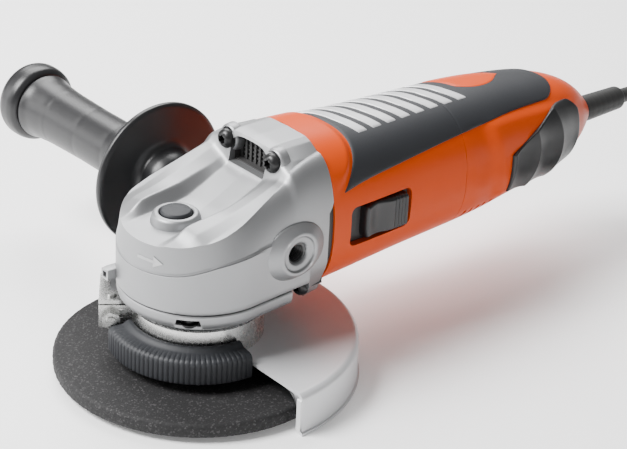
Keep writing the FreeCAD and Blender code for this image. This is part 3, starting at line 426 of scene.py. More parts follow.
FINISHES = (
    Finish("cast_silver", "cast_alloy", (0.33, 0.333, 0.34), (0.28, 0.283, 0.289),
           (0.62, 0.62, 0.62),
           metallic=0.84, roughness=0.39, spread=0.16, grain=0.34, depth=0.022, rub=0.5),
    Finish("orange_shell", "orange_plastic", (0.62, 0.060, 0.0), (0.57, 0.053, 0.0),
           (0.85, 0.15, 0.01), roughness=0.33, spread=0.12, grain=0.45, depth=0.012, rub=0.25,
           gloss=0.16),
    Finish("soft_black", "soft_grip", (0.013, 0.0145, 0.018), (0.009, 0.010, 0.013),
           (0.045, 0.048, 0.055), roughness=0.50, spread=0.2, grain=0.3, depth=0.02, rub=0.35),
    Finish("gloss_black", "black_plastic", (0.006, 0.006, 0.007), (0.010, 0.010, 0.011),
           (0.03, 0.03, 0.032), roughness=0.30, spread=0.14, grain=0.6, depth=0.008, rub=0.3),
    Finish("inner_plastic", "inner_plastic", (0.030, 0.028, 0.028), (0.02, 0.02, 0.02),
           (0.06, 0.06, 0.06), roughness=0.5, spread=0.2),
    Finish("guard_paint", "guard_paint", (0.64, 0.645, 0.655), (0.58, 0.585, 0.60),
           (0.85, 0.85, 0.85),
           metallic=0.25, roughness=0.32, spread=0.14, grain=0.5, depth=0.012, rub=0.4),
    Finish("zinc_steel", "zinc_steel", (0.60, 0.60, 0.59), (0.52, 0.52, 0.51), (0.85, 0.85, 0.83),
           metallic=1.0, roughness=0.22, spread=0.10, grain=1.4, depth=0.003, rub=0.3),
    Finish("black_screw", "black_screw", (0.022, 0.022, 0.023), (0.03, 0.03, 0.03),
           (0.12, 0.12, 0.12),
           metallic=0.6, roughness=0.24, spread=0.15, rub=0.5),
    Finish("machined_steel", "machined_steel", (0.50, 0.50, 0.50), (0.42, 0.42, 0.43),
           (0.8, 0.8, 0.8), metallic=1.0, roughness=0.24, spread=0.18, streak=(1.0, 1.0, 9.0),
           depth=0.008, rub=0.5),
    Finish("abrasive_grit", "abrasive", (0.008, 0.0076, 0.0083), (0.004, 0.0038, 0.0042),
           (0.07, 0.065, 0.065), roughness=0.62, spread=0.3, cloud=14.0, grain=0.62, depth=0.22,
           rub=0.5, fleck=0.10),
    Finish("laminations", "laminations", (0.30, 0.30, 0.31), (0.2, 0.2, 0.21), (0.5, 0.5, 0.5),
           metallic=0.9, roughness=0.4, streak=(12.0, 1.0, 1.0)),
    Finish("copper_wire", "copper", (0.72, 0.28, 0.12), (0.55, 0.18, 0.08), (0.9, 0.45, 0.25),
           metallic=0.9, roughness=0.3, streak=(1.0, 5.0, 1.0)),
    Finish("bronze_bush", "bronze", (0.55, 0.36, 0.16), (0.45, 0.3, 0.14), (0.75, 0.55, 0.3),
           metallic=0.9, roughness=0.35),
    Finish("carbon_brush", "carbon", (0.03, 0.03, 0.032), (0.02, 0.02, 0.02), (0.1, 0.1, 0.1),
           roughness=0.55, spread=0.2, depth=0.03),
    Finish("bush_rubber", "bush_rubber", (0.018, 0.018, 0.018), (0.012, 0.012, 0.012),
           (0.05, 0.05, 0.05), roughness=0.7),
    Finish("cord_sheath", "cord_sheath", (0.014, 0.014, 0.014), (0.022, 0.022, 0.021),
           (0.05, 0.05, 0.05), roughness=0.42, spread=0.2, grain=0.5, depth=0.02, rub=0.2),
    Finish("silver_mark", "soft_grip", (0.62, 0.62, 0.63), (0.55, 0.55, 0.56), (0.8, 0.8, 0.8),
           metallic=0.3, roughness=0.35, spread=0.1, rub=0.2),
)


def wire(links: bpy.types.NodeLinks, *runs: tuple[bpy.types.Node, str, bpy.types.Node,
                                                  str]) -> None:
    """Join each output that is named to the input that is named."""
    for source, output, target, entry in runs:
        links.new(source.outputs[output], target.inputs[entry])


class Paintshop:
    """Builds each finish once, from node groups that all of them share."""

    def __init__(self) -> None:
        """Build the shared groups and every finish."""
        self.grain_group = self.build_grain()
        self.wear_group = self.build_wear()
        self.materials = {finish.name: self.build(finish) for finish in FINISHES}
        self.by_slot = {}
        for finish in FINISHES:
            self.by_slot.setdefault(finish.slot, finish)

    @staticmethod
    def socket(group: bpy.types.NodeTree, name: str, kind: str = "NodeSocketFloat",
               out: bool = False) -> None:
        """Add one named input or output to a group."""
        group.interface.new_socket(name=name, in_out="OUTPUT" if out else "INPUT", socket_type=kind)

    def build_grain(self) -> bpy.types.NodeTree:
        """Cloudy and fine noise of chosen sizes: a cloud mask, a grain mask and bright flecks."""
        group = bpy.data.node_groups.new("grain", "ShaderNodeTree")
        self.socket(group, "Vector", "NodeSocketVector")
        for name in ("Cloud Scale", "Grain Scale"):
            self.socket(group, name)
        for name in ("Cloud", "Grain", "Fleck"):
            self.socket(group, name, out=True)
        nodes, links = group.nodes, group.links
        start = nodes.new("NodeGroupInput")
        end = nodes.new("NodeGroupOutput")
        cloud = nodes.new("ShaderNodeTexNoise")
        cloud.inputs["Detail"].default_value = 3.0
        grain = nodes.new("ShaderNodeTexNoise")
        grain.inputs["Detail"].default_value = 2.0
        cells = nodes.new("ShaderNodeTexVoronoi")
        spots = nodes.new("ShaderNodeMapRange")
        spots.inputs["From Min"].default_value = 0.80
        spots.inputs["From Max"].default_value = 0.98
        split = nodes.new("ShaderNodeSeparateColor")
        wire(links, (start, "Vector", cloud, "Vector"), (start, "Cloud Scale", cloud, "Scale"),
             (start, "Vector", grain, "Vector"), (start, "Grain Scale", grain, "Scale"),
             (start, "Vector", cells, "Vector"), (start, "Grain Scale", cells, "Scale"),
             (cells, "Color", split, "Color"), (split, "Red", spots, "Value"),
             (cloud, "Fac", end, "Cloud"), (grain, "Fac", end, "Grain"),
             (spots, "Result", end, "Fleck"))
        return group

    def build_wear(self) -> bpy.types.NodeTree:
        """Corners that are rubbed: pointed places of the mesh, broken up by a noise."""
        group = bpy.data.node_groups.new("edge_wear", "ShaderNodeTree")
        self.socket(group, "Break Up")
        self.socket(group, "Amount")
        self.socket(group, "Mask", out=True)
        nodes, links = group.nodes, group.links
        start = nodes.new("NodeGroupInput")
        end = nodes.new("NodeGroupOutput")
        shape = nodes.new("ShaderNodeNewGeometry")
        ramp = nodes.new("ShaderNodeMapRange")
        ramp.inputs["From Min"].default_value = 0.53
        ramp.inputs["From Max"].default_value = 0.62
        broken = nodes.new("ShaderNodeMath")
        broken.operation = "MULTIPLY"
        scaled = nodes.new("ShaderNodeMath")
        scaled.operation = "MULTIPLY"
        links.new(shape.outputs["Pointiness"], ramp.inputs["Value"])
        links.new(ramp.outputs["Result"], broken.inputs[0])
        links.new(start.outputs["Break Up"], broken.inputs[1])
        links.new(broken.outputs["Value"], scaled.inputs[0])
        links.new(start.outputs["Amount"], scaled.inputs[1])
        links.new(scaled.outputs["Value"], end.inputs["Mask"])
        return group

    def build(self, finish: Finish) -> bpy.types.Material:
        """Make one finish's material.

        Args:
            finish: what it looks like.

        Returns:
            The new material.
        """
        material = bpy.data.materials.new(finish.name)
        material.use_nodes = True
        nodes, links = material.node_tree.nodes, material.node_tree.links
        shader = nodes["Principled BSDF"]
        shader.inputs["Metallic"].default_value = finish.metallic
        shader.inputs["Specular IOR Level"].default_value = finish.gloss
        place = nodes.new("ShaderNodeTexCoord")
        stretch = nodes.new("ShaderNodeMapping")
        stretch.inputs["Scale"].default_value = finish.streak
        grain = nodes.new("ShaderNodeGroup")
        grain.node_tree = self.grain_group
        grain.inputs["Cloud Scale"].default_value = 1.0 / (finish.cloud * MM)
        grain.inputs["Grain Scale"].default_value = 1.0 / (finish.grain * MM)
        wear = nodes.new("ShaderNodeGroup")
        wear.node_tree = self.wear_group
        wear.inputs["Amount"].default_value = finish.rub * 1.6
        wire(links, (place, "Object", stretch, "Vector"), (stretch, "Vector", grain, "Vector"),
             (grain, "Cloud", wear, "Break Up"))
        clouds = self.mix(material, finish.base, finish.shade, grain.outputs["Cloud"])
        worn = self.mix(material, clouds, finish.edge, wear.outputs["Mask"])
        if finish.fleck:
            amount = nodes.new("ShaderNodeMath")
            amount.operation = "MULTIPLY"
            amount.inputs[1].default_value = finish.fleck
            links.new(grain.outputs["Fleck"], amount.inputs[0])
            worn = self.mix(material, worn, (0.34, 0.32, 0.33), amount.outputs["Value"])
        links.new(worn, shader.inputs["Base Color"])
        rough = nodes.new("ShaderNodeMapRange")
        rough.inputs["To Min"].default_value = finish.roughness
        rough.inputs["To Max"].default_value = finish.roughness + finish.spread
        wire(links, (grain, "Grain", rough, "Value"), (rough, "Result", shader, "Roughness"))
        bump = nodes.new("ShaderNodeBump")
        bump.inputs["Distance"].default_value = finish.depth * MM
        bump.inputs["Strength"].default_value = 0.7
        wire(links, (grain, "Grain", bump, "Height"), (bump, "Normal", shader, "Normal"))
        return material

    @staticmethod
    def mix(material: bpy.types.Material, first: Colour | bpy.types.NodeSocket, second: Colour,
            amount: bpy.types.NodeSocket) -> bpy.types.NodeSocket:
        """Mix two colours by a mask and give the mixed colour's socket."""
        node = material.node_tree.nodes.new("ShaderNodeMix")
        node.data_type = "RGBA"
        links = material.node_tree.links
        links.new(amount, node.inputs["Factor"])
        if isinstance(first, tuple):
            node.inputs["A"].default_value = (*first, 1.0)
        else:
            links.new(first, node.inputs["A"])
        node.inputs["B"].default_value = (*second, 1.0)
        return node.outputs["Result"]

    def dress(self, piece: bpy.types.Object, finish: str) -> bpy.types.Object:
        """Give a new piece one finish."""
        piece.data.materials.clear()
        piece.data.materials.append(self.materials[finish])
        return piece

    def dress_node(self, node: bpy.types.Object, slot: str) -> None:
        """Give a carried-over node the finish that belongs to its slot."""
        material = self.materials[self.by_slot[slot].name]
        for entry in node.material_slots:
            entry.material = material
        if not node.material_slots:
            node.data.materials.append(material)


def fit(piece: bpy.types.Object, body: str, *nodes: str) -> bpy.types.Object:
    """Let a piece ride on a body and stand for the named nodes, and report it."""
    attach(piece, body)
    if nodes:
        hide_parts(*nodes)
    LOG.info("%s rides on %s", piece.name, body)
    return piece


# ------------------------------------------------------------------------------------ gear case
@dataclass
class GearCase:
    """The cast case round the bevel gears: round nose, dished top, hood and handle bosses."""

    around: int = 250
    side_share: float = 0.24
    button_x: float = -11.7
    boss_x: float = 20.7
    boss_z: float = 56.0
    boss_base: float = 31.2
    setback: float = 1.2
    flange_end: float = 22.0
    notch_angle: float = 225.0
    screw_places: tuple[Point, ...] = ((23.0, 14.0, 86.5), (23.0, -14.0, 86.5),
                                       (31.0, 24.5, 35.2), (31.0, -24.5, 35.2))
    stations: tuple[float, ...] = (-32.5, -24.0, -17.0, -8.0, 0.0, 8.0, 16.0, 21.5, 24.5, 30.0,
                                   42.5)
    ridges: dict[float, tuple[float, ...]] = field(default_factory=lambda: {
        0.0: (64.6, 65.9, 66.3, 66.6, 67.6, 70.8, 74.9, 78.0, 91.4, 92.1, 92.1),
        10.5: (64.4, 66.0, 66.9, 67.6, 68.6, 71.6, 75.3, 78.2, 91.0, 91.8, 91.8),
        14.0: (64.2, 67.3, 71.4, 72.6, 73.4, 75.4, 77.5, 80.0, 89.4, 90.7, 90.7),
        20.0: (64.0, 66.2, 70.2, 72.0, 74.2, 76.6, 79.4, 82.0, 86.4, 87.9, 86.6),
        25.5: (63.6, 65.0, 68.0, 70.6, 73.4, 76.6, 80.0, 82.4, 84.6, 84.4, 79.5),
        33.0: (63.6, 65.0, 68.0, 70.6, 73.4, 76.6, 80.0, 82.4, 84.6, 84.4, 79.5)})

    @staticmethod
    def half_width(x: Array) -> Array:
        """Half the case's width at x, from the nose's radius down to the seam's half width."""
        return NOSE_RADIUS - (NOSE_RADIUS - SEAM_HALF_WIDTH) * x / SEAM_X

    def outline(self, along: Array, inset: Array) -> tuple[Array, Array]:
        """The plan outline pulled in by inset, as x and y.

        Along runs from 0 at the near rear corner round the nose to 1 at the far rear corner. The
        sides are straight, x = 40(1 - s), |y| = 32.5 - 2.3 x / 40 - inset, and the nose is a half
        circle of radius 32.5 - inset.

        Args:
            along: place on the outline, 0 to 1.
            inset: distance inwards.

        Returns:
            The x and y of each point.
        """
        side = self.side_share
        near = along < side
        far = along > 1.0 - side
        s = np.where(near, along / side, np.where(far, (1.0 - along) / side, 1.0))
        x_side = SEAM_X * (1.0 - s)
        width = np.maximum(self.half_width(x_side) - inset, 0.0)
        turn = -0.5 * math.pi - math.pi * (along - side) / (1.0 - 2.0 * side)
        radius = np.maximum(NOSE_RADIUS - inset, 0.0)
        x = np.where(near | far, x_side, radius * np.cos(turn))
        y = np.where(near, -width, np.where(far, width, radius * np.sin(turn)))
        return x, y

    def crown(self, x: Array, y: Array) -> Array:
        """Height of the top: long ridges at set widths, with straight runs between them."""
        widths = list(self.ridges)
        heights = np.stack([through(x, self.stations, self.ridges[w]) for w in widths])
        a = np.clip(np.abs(y), 0.0, widths[-1] - 1e-6)
        k = np.clip(np.searchsorted(widths, a, side="right") - 1, 0, len(widths) - 2)
        low = np.array(widths)[k]
        high = np.array(widths)[k + 1]
        t = (a - low) / (high - low)
        return (np.take_along_axis(heights, k[None], 0)[0] * (1 - t)
                + np.take_along_axis(heights, k[None] + 1, 0)[0] * t)

    def shell_points(self) -> Array:
        """The whole closed skin: floor, wall, leaning upper wall, crown and rear face."""
        along = np.linspace(0.0, 1.0, self.around)[:, None]
        x0, y0 = self.outline(along, np.zeros_like(along))
        lean = through(x0, (-32.5, -17.0, -6.0, 6.0, 17.0, 28.0, 42.5),
                       (1.5, 2.2, 4.2, 5.8, 7.2, 9.0, 12.5))
        step_z = through(x0, (-32.5, -26.0, -13.0, 0.0, 12.0, 42.5),
                         (53.6, 55.0, 59.4, 61.2, 62.0, 60.0))
        low_z = 38.6 - 8.4 * ease(x0, 30.6, 32.4)
        xr, yr = self.outline(along, lean)
        ridge_z = self.crown(xr, yr)
        tuck = 5.4 * ease(x0, 10.0, 40.0) * ease(-low_z, -38.6, -30.2)
        rows: list[tuple[Array, Array]] = []
        for depth in (32.5, 20.0, 8.0, 4.0):
            rows.append((np.full_like(x0, depth) + tuck * (depth < 32), low_z + 0.0 * x0))
        wall = np.concatenate([[0.0, 0.02, 0.05], np.linspace(0.12, 1.0, 16)])
        for t in wall:
            z = low_z + (step_z - 0.35 - low_z) * t
            pull = tuck * (1 - ease(z, 29.0, 47.0)) + 1.0 * (t == 0.0) + 0.3 * (t == 0.02)
            rows.append((pull, z))
        groove = 0.45 * (1 - ease(x0, -6.0, 12.0))
        rows.append((groove, step_z - 0.1))
        bend = ease(x0, -12.0, 30.0)
        for t in np.linspace(0.0, 1.0, 22):
            round_d = lean * (1 - math.cos(0.5 * math.pi * t))
            round_z = math.sin(0.5 * math.pi * t)
            d = bend * round_d + (1 - bend) * lean * (0.15 + 0.85 * t) * (t > 0)
            z = step_z + 0.2 + (ridge_z - step_z - 0.2) * (bend * round_z + (1 - bend) * t)
            rows.append((d, z))
        inset = np.concatenate([d + 0.0 * x0 for d, _ in rows], 1)
        height = np.concatenate([z + 0.0 * x0 for _, z in rows], 1)
        x, y = self.outline(np.broadcast_to(along, inset.shape), inset)
        t = (np.linspace(0.0, 1.0, 62)[1:])[None, :]
        width = np.where(x0 > 0, self.half_width(x0), NOSE_RADIUS)
        deep = lean + (width - lean) * t
        xc, yc = self.outline(np.broadcast_to(along, deep.shape), deep)
        zc = self.crown(xc, yc)
        x = np.concatenate([x, xc], 1)
        y = np.concatenate([y, yc], 1)
        z = np.concatenate([height, zc], 1)
        first = len(rows)
        mid = z[:, first + 1:-1]
        z[:, first + 1:-1] = 0.5 * mid + 0.25 * (z[:, first:-2] + z[:, first + 2:])
        x = np.where(x > 0, x + 2.4 * ease(z, 66.0, 70.0) * (x / SEAM_X) ** 8, x)
        return ends_to_centre(np.stack([x, y, z], -1))

    def mouth_cutter(self) -> bpy.types.Object:
        """The arched opening under the hood."""
        outline = [(78.6, -10.6), (78.6, 10.6), (85.8, 10.9)]
        outline += [(85.8 + 4.5 * math.sin(a), 10.9 * math.cos(a) ** 0.6)
                    for a in np.linspace(0.2, 0.5 * math.pi - 0.02, 9)]
        outline += [(z, -y) for z, y in outline[:1:-1]]
        flat = [(z, -y) for z, y in outline]
        return swept_loop("mouth", flat, 20.5, 38.0, Way.X)

    def build(self, paint: Paintshop) -> None:
        """Make the case and everything cast or screwed onto it."""
        points = self.shell_points()
        case = as_object("gear_case_shell", points, grid_faces(*points.shape[:2]), 38.0)
        pocket = turned("button_pocket", [(0, 62.2), (6.5, 62.2), (6.5, 75.0), (0, 75.0)],
                        (self.button_x, 0, 0), steps=64)
        cutters = [self.mouth_cutter(), pocket]
        for side, way in ((Side.LEFT, Way.Y), (Side.RIGHT, Way.OUT_RIGHT)):
            cutters.append(turned("socket", [(0, 0), (5.6, 0), (5.6, 9.0), (0, 9.0)],
                                  (self.boss_x + self.setback, side.value * 25.6, self.boss_z), way,
                                  32))
        carve(case, *cutters)
        fit(paint.dress(case, "cast_silver"), "frame", "gear_case")
        self.build_bosses(paint)
        self.build_collar(paint)
        self.build_lower_flange(paint)
        self.build_grille(paint)
        self.build_screws(paint)
        self.build_arrow(paint)

    def build_bosses(self, paint: Paintshop) -> None:
        """The two oval handle bosses: a cone that narrows to a ring round its threaded hole, whose
        bare thread is given the dark screw finish as painted shade.
        """
        for side, way in ((Side.LEFT, Way.Y), (Side.RIGHT, Way.OUT_RIGHT)):
            profile = rounded([(0, -5.5), (12.4, -5.5), (12.2, 0.2), (8.9, 3.4), (7.6, 3.4),
                               (7.1, 2.5), (4.9, 2.3), (4.2, 1.4), (4.2, -5.0), (0, -5.0)], 0.6, 3)

            def oval(radius: Array, height: Array, angle: Array) -> tuple[Array, Array]:
                grow = 0.24 * ease(radius, 8.5, 12.0)
                return radius * (1 + grow * np.sin(angle) ** 2 - 0.12 * grow), height

            boss = turned(f"handle_boss_{side.name.lower()}", profile,
                          (self.boss_x + self.setback, side.value * self.boss_base, self.boss_z),
                          way, 72, oval)
            fit(paint.dress(boss, "cast_silver"), "frame")

            def thread(radius: Array, height: Array, angle: Array) -> tuple[Array, Array]:
                wave = 0.28 * np.sin(TAU * height / 1.25 + angle)
                return np.where(radius > 3.5, radius + wave, radius), height

            bore = dense([(0, -4.9), (3.6, -4.9), (3.6, 1.1)], 0.25)
            bore += [(4.3, 1.3), (4.3, -5.2), (0, -5.2)]
            hole = turned(f"boss_thread_painted_shade_{side.name.lower()}", bore,
                          (self.boss_x + self.setback, side.value * self.boss_base, self.boss_z),
                          way, 40, thread)
            # The bore is bare threaded metal; the dark screw finish on it is painted shade for the
            # deep hole.
            fit(paint.dress(hole, "black_screw"), "frame")

    def build_collar(self, paint: Paintshop) -> None:
        """The raised ring that guides the lock button."""
        collar = turned("button_collar", rounded([
            (6.5, 58), (10.8, 58), (10.0, 66.5), (9.2, 69.4), (8.4, 70.2), (7.0, 70.3), (6.5, 69.6),
            (6.5, 58)], 0.6, 3), (self.button_x, 0, 0))
        fit(paint.dress(collar, "cast_silver"), "frame")
        button = turned("lock_button_cap", rounded([
            (4.2, 66.9), (6.15, 66.9), (6.15, 70.3), (5.6, 71.2), (3.0, 71.6), (0.0, 71.7),
            (0.0, 69.5), (4.2, 69.5), (4.2, 66.9)], 0.3, 4), (self.button_x, 0, 0), steps=64)
        fit(paint.dress(button, "soft_black"), "spindle_lock", "lock_button")

    def build_lower_flange(self, paint: Paintshop) -> None:
        """The lower casting: a rim that continues the case, a stepped foot and the guard's neck."""
        along = np.linspace(0.0, 1.0, 170)[:, None]
        x0, y0 = self.outline(along, np.zeros_like(along))
        depths = [(32.5, 38.5), (5.0, 38.5), (0.5, 38.3), (0.2, 37.8), (0.3, 35.2), (0.8, 33.4),
                  (2.2, 32.0), (3.6, 31.6), (6.8, 31.3), (32.5, 31.3)]
        inset = np.array([d for d, _ in depths])[None, :] + 0.0 * x0
        z = np.array([h for _, h in depths])[None, :] + 0.0 * x0
        x, y = self.outline(np.broadcast_to(along, inset.shape), inset)
        x = np.minimum(x, self.flange_end)
        points = ends_to_centre(np.stack([x, y, z], -1))
        rim = as_object("flange_rim", points, grid_faces(*points.shape[:2]), 30.0)
        cutters = [turned("seat", [(0, 0), (4.4, 0), (4.4, 4.2), (0, 4.2)], (px, py, 30.5),
                          steps=32)
                   for px, py in ((-19.5, -19.5), (-19.5, 19.5), (19.5, 22.5), (19.5, -22.5))]
        notch = swept_loop("notch", [(30.0, -6.0), (30.0, 6.0), (36.6, 4.4), (36.6, -4.4)], 0, 16,
                           Way.X)
        notch.data.transform(Matrix.Rotation(math.radians(self.notch_angle), 4, "Z")
                             @ Matrix.Translation(Vector((22.0 * MM, 0, 0))))
        carve(rim, *cutters, notch)
        neck = turned("flange_neck", rounded([
            (0, 31.4), (27.2, 31.4), (27.2, 29.6), (24.5, 29.0), (24.5, 16.8), (23.6, 15.8),
            (18.0, 15.6), (17.0, 18.0), (0, 18.0)], 0.5, 3), (0, 0, 0), steps=128)
        fit(paint.dress(rim, "cast_silver"), "frame", "bearing_flange")
        fit(paint.dress(neck, "cast_silver"), "frame")
        lug = block("guard_stop_lug", (2.2, 2.1), 0.5, 3, (42.0, -17.5), -32.6, -25.0)
        hole = block("lug_hole", (1.2, 1.1), 0.3, 2, (42.0, -17.5), -36.0, -30.0)
        carve(lug, hole)
        fit(paint.dress(lug, "cast_silver"), "frame")

    def build_grille(self, paint: Paintshop) -> None:
        """Upright slats and a fine cross mesh at the back of the mouth."""
        slats = [block("slat", (5.8, 0.6), 0.4, 2, (84.3, y), 27.6, 36.0)
                 for y in np.linspace(-9.6, 9.6, 8)]
        bars = [block("bar", (0.35, 10.6), 0.3, 2, (z, 0.0), 28.2, 29.2)
                for z in np.linspace(79.6, 88.8, 6)]
        back = block("back", (6.4, 11.4), 1.0, 3, (84.3, 0.0), 35.6, 37.5)
        slats += [block("wall", (5.9, 0.35), 0.3, 2, (84.3, side.value * 10.9), 25.0, 36.0)
                  for side in Side]
        slats.append(block("sill", (0.35, 10.8), 0.3, 2, (78.75, 0.0), 25.2, 36.0))
        grille = merged("vent_grille", slats + bars + [back])
        fit(paint.dress(grille, "inner_plastic"), "frame")

    def build_screws(self, paint: Paintshop) -> None:
        """Domed screws with a six-lobed socket, in round seats."""
        head = [(0, -9.0), (1.9, -9.0), (1.9, 0.0), (4.0, 0.0), (4.1, 0.9), (3.75, 2.0), (3.0, 2.9),
                (2.2, 3.3), (1.75, 3.35), (1.65, 1.4), (0, 1.3)]
        heads = []
        for x, y, z in self.screw_places:
            def socket(radius: Array, height: Array, angle: Array) -> tuple[Array, Array]:
                lobes = 1 + 0.14 * np.cos(6 * angle)
                return np.where(radius < 2.3, radius * lobes, radius), height

            heads.append(turned("head", head, (x + self.setback, y, z), Way.FORWARD, 48, socket))
        fit(paint.dress(merged("case_screws", heads), "black_screw"), "frame", "gear_case_screws")
        ring = rounded([(0, -4.0), (5.8, -4.0), (5.5, -0.6), (4.9, 0.2), (4.4, 0.0), (4.2, -0.8),
                        (0, -0.8)], 0.4, 2)
        seats = [turned("seat", ring, (x + self.setback, y, z), Way.FORWARD, 48)
                 for x, y, z in self.screw_places[:2]]
        fit(paint.dress(merged("screw_seats", seats), "cast_silver"), "frame")

    def build_arrow(self, paint: Paintshop) -> None:
        """The raised turning arrow on the nose, bent round it."""
        flat = np.array([(-6.0, 0.55), (1.8, 0.55), (1.8, 2.1), (6.0, 0.0), (1.8, -2.1),
                         (1.8, -0.55), (-6.0, -0.55)])
        layers = []
        for lift in (-0.8, 0.38):
            turn = math.pi + 0.28 + flat[:, 0] / NOSE_RADIUS
            radius = NOSE_RADIUS - 0.75 + lift - 0.12 * flat[:, 1]
            layers.append(np.stack([radius * np.cos(turn), radius * np.sin(turn),
                                    58.8 + flat[:, 1]], -1))
        arrow = prism("turning_arrow", layers, None)
        fit(paint.dress(arrow, "cast_silver"), "frame")


# --------------------------------------------------------------------------------- motor housing
@dataclass
class Housing:
    """The orange housing and rear cover, their soft panels, grip pads, seam and slide switch."""

    stations: tuple[float, ...] = (42.5, 56.0, 68.0, 90.0, 118.0, 134.0, 150.0, 166.0, 180.0, 190.0,
                                   200.0, 208.0, 213.0)
    half: tuple[float, ...] = (30.5, 30.7, 30.4, 29.3, 28.0, 27.7, 26.4, 25.2, 23.8, 21.6, 17.6,
                               13.0, 9.6)
    high: tuple[float, ...] = (90.8, 89.8, 88.9, 88.0, 87.0, 86.3, 85.2, 83.4, 81.4, 79.0, 75.2,
                               70.0, 65.2)
    low: tuple[float, ...] = (26.4, 27.6, 28.2, 29.0, 29.9, 31.4, 33.4, 36.0, 39.0, 41.6, 44.6,
                              47.4, 49.6)
    middle: float = 57.5
    power: tuple[float, ...] = (2.5, 2.5, 2.45, 2.4, 2.4, 2.4, 2.4, 2.4, 2.35, 2.3, 2.2, 2.1, 2.0)

    def relief(self, x: Array, phi: Array) -> Array:
        """Height of the raised front flange, and of the swelling behind the side crease."""
        lateral = np.abs(phi - 0.5 * math.pi) / 0.5 / math.pi
        top = 1 - ease(lateral, 0.55, 0.80)
        edge = 60.5 - 13.0 * np.clip(lateral / 0.72, 0, 1) ** 3
        flange = 1.38 * top * (1 - ease(x, edge - 3.2, edge - 0.2))
        side = ease(lateral, 0.48, 0.62) * (1 - ease(lateral, 1.25, 1.5))
        crease = 139.0 + 10.0 * (lateral - 0.9)
        swell = 1.1 * side * ease(x, crease - 7.0, crease + 2.0) * (1 - ease(x, 176.0, 200.0))
        dip = -0.7 * side * ease(x, crease - 18.0, crease - 7.0)
        dip = dip * (1 - ease(x, crease - 7.0, crease + 1.0))
        return flange + swell + dip

    def point(self, x: Array, phi: Array, lift: Array | float = 0.0, relief: bool = True) -> Array:
        """A point of the skin: across the tool |y/w|^n + |z/h|^n = 1, pushed out by lift.

        Args:
            x: place along the tool.
            phi: way round, 0 at the left side, a quarter turn at the top.
            lift: distance outwards.
            relief: add the flange and the side crease.

        Returns:
            The points, one last axis of x, y and z.
        """
        x, phi, lift = np.broadcast_arrays(np.asarray(x, float), np.asarray(phi, float),
                                           np.asarray(lift, float))
        half = through(x, self.stations, self.half)
        high = through(x, self.stations, self.high)
        low = through(x, self.stations, self.low)
        power = through(x, self.stations, self.power)
        c, s = np.cos(phi), np.sin(phi)
        reach = np.where(s > 0, high - self.middle, self.middle - low)
        y = half * signed_power(c, 2.0 / power)
        z = self.middle + reach * signed_power(s, 2.0 / power)
        ny = signed_power(c, 2.0 - 2.0 / power) / half
        nz = signed_power(s, 2.0 - 2.0 / power) / reach
        size = np.sqrt(ny * ny + nz * nz)
        push = lift + (self.relief(x, phi) if relief else 0.0)
        return np.stack([x, y + push * ny / size, z + push * nz / size], -1)

    def phi_of(self, x: Array, z: Array, side: Side) -> Array:
        """The way round at which the skin has a height on one side."""
        high = through(x, self.stations, self.high)
        low = through(x, self.stations, self.low)
        power = through(x, self.stations, self.power)
        rise = z - self.middle
        up = rise / np.where(rise > 0, high - self.middle, self.middle - low)
        turn = np.arcsin(np.clip(signed_power(up, power / 2.0), -1, 1))
        return turn if side is Side.LEFT else math.pi - turn

    def shell(self, name: str, start: float, end: float, round_end: bool) -> bpy.types.Object:
        """One length of the housing's skin, closed at both ends."""
        stops = np.linspace(start, end, max(24, int((end - start) / 0.8)))
        phi = np.linspace(0.0, TAU, 220, endpoint=False)
        body = self.point(stops[:, None], phi[None, :])
        rows = [body]
        for row, push in ((0, -0.5), (-1, 0.5 if round_end else 0.0)):
            cap = []
            for scale in ((0.97, 0.8, 0.4, 0.0) if row == -1 else (0.0,)):
                ring = body[row].copy()
                centre = ring.mean(0)
                ring[:, 1:] = centre[1:] + (ring[:, 1:] - centre[1:]) * scale
                ring[:, 0] += push * (1 - scale)
                cap.append(ring)
            block = np.stack(cap)
            rows = [block] + rows if row == 0 else rows + [block]
        points = np.concatenate(rows)
        return as_object(name, points, grid_faces(*points.shape[:2], close_columns=True), 30.0)

    def patch(self, name: str, x: Array, phi: Array, lift: Array,
              depth: float = 1.2) -> bpy.types.Object:
        """A closed inlay on the skin: its top follows lift, its underside is sunk by depth."""
        return sheet_pair(name, self.point(x, phi, lift), self.point(x, phi, -depth + 0.0 * x),
                          34.0)

    @staticmethod
    def pillow(p: Array, q: Array, height: float, rim: float = 0.05, sunk: float = -0.35) -> Array:
        """Lift over the unit square: level inside and rolled down to sunk at the rim."""
        edge = np.minimum(np.minimum(p, 1 - p), np.minimum(q, 1 - q))
        t = np.clip(edge / rim, 0, 1)
        return sunk + (height - sunk) * np.sqrt(1 - (1 - t) ** 2)

    def build(self, paint: Paintshop) -> None:
        """Make the shells and all that sits on them."""
        front = self.shell("motor_shell", 42.6, SHELL_JOINT_X - 0.12, False)
        window = block("window", (8.6, 16.7), 3.0, 5, (56.85, 68.0), -45.0, -25.4, Way.Y)
        carve(front, window)
        fit(paint.dress(front, "orange_shell"), "frame", "motor_housing")
        rear = self.shell("rear_shell", SHELL_JOINT_X + 0.12, COVER_END_X, True)
        slots = []
        for index in range(5):
            for side in Side:
                low, high = sorted((side.value * 20.0, side.value * 40.0))
                slots.append(block("slot", (3.4, 0.9), 0.85, 3, (38.2, 0.0), low, high, Way.Y))
                shift = Vector(((122.5 + 4.2 * index) * MM, 0, 0))
                slots[-1].data.transform(Matrix.Translation(shift))
        carve(rear, *slots)
        fit(paint.dress(rear, "orange_shell"), "frame", "rear_cover")
        self.build_gasket(paint)
        self.build_panels(paint)
        self.build_mark(paint)
        self.build_pads(paint)
        self.build_switch(paint)
        self.build_rear_inside(paint)

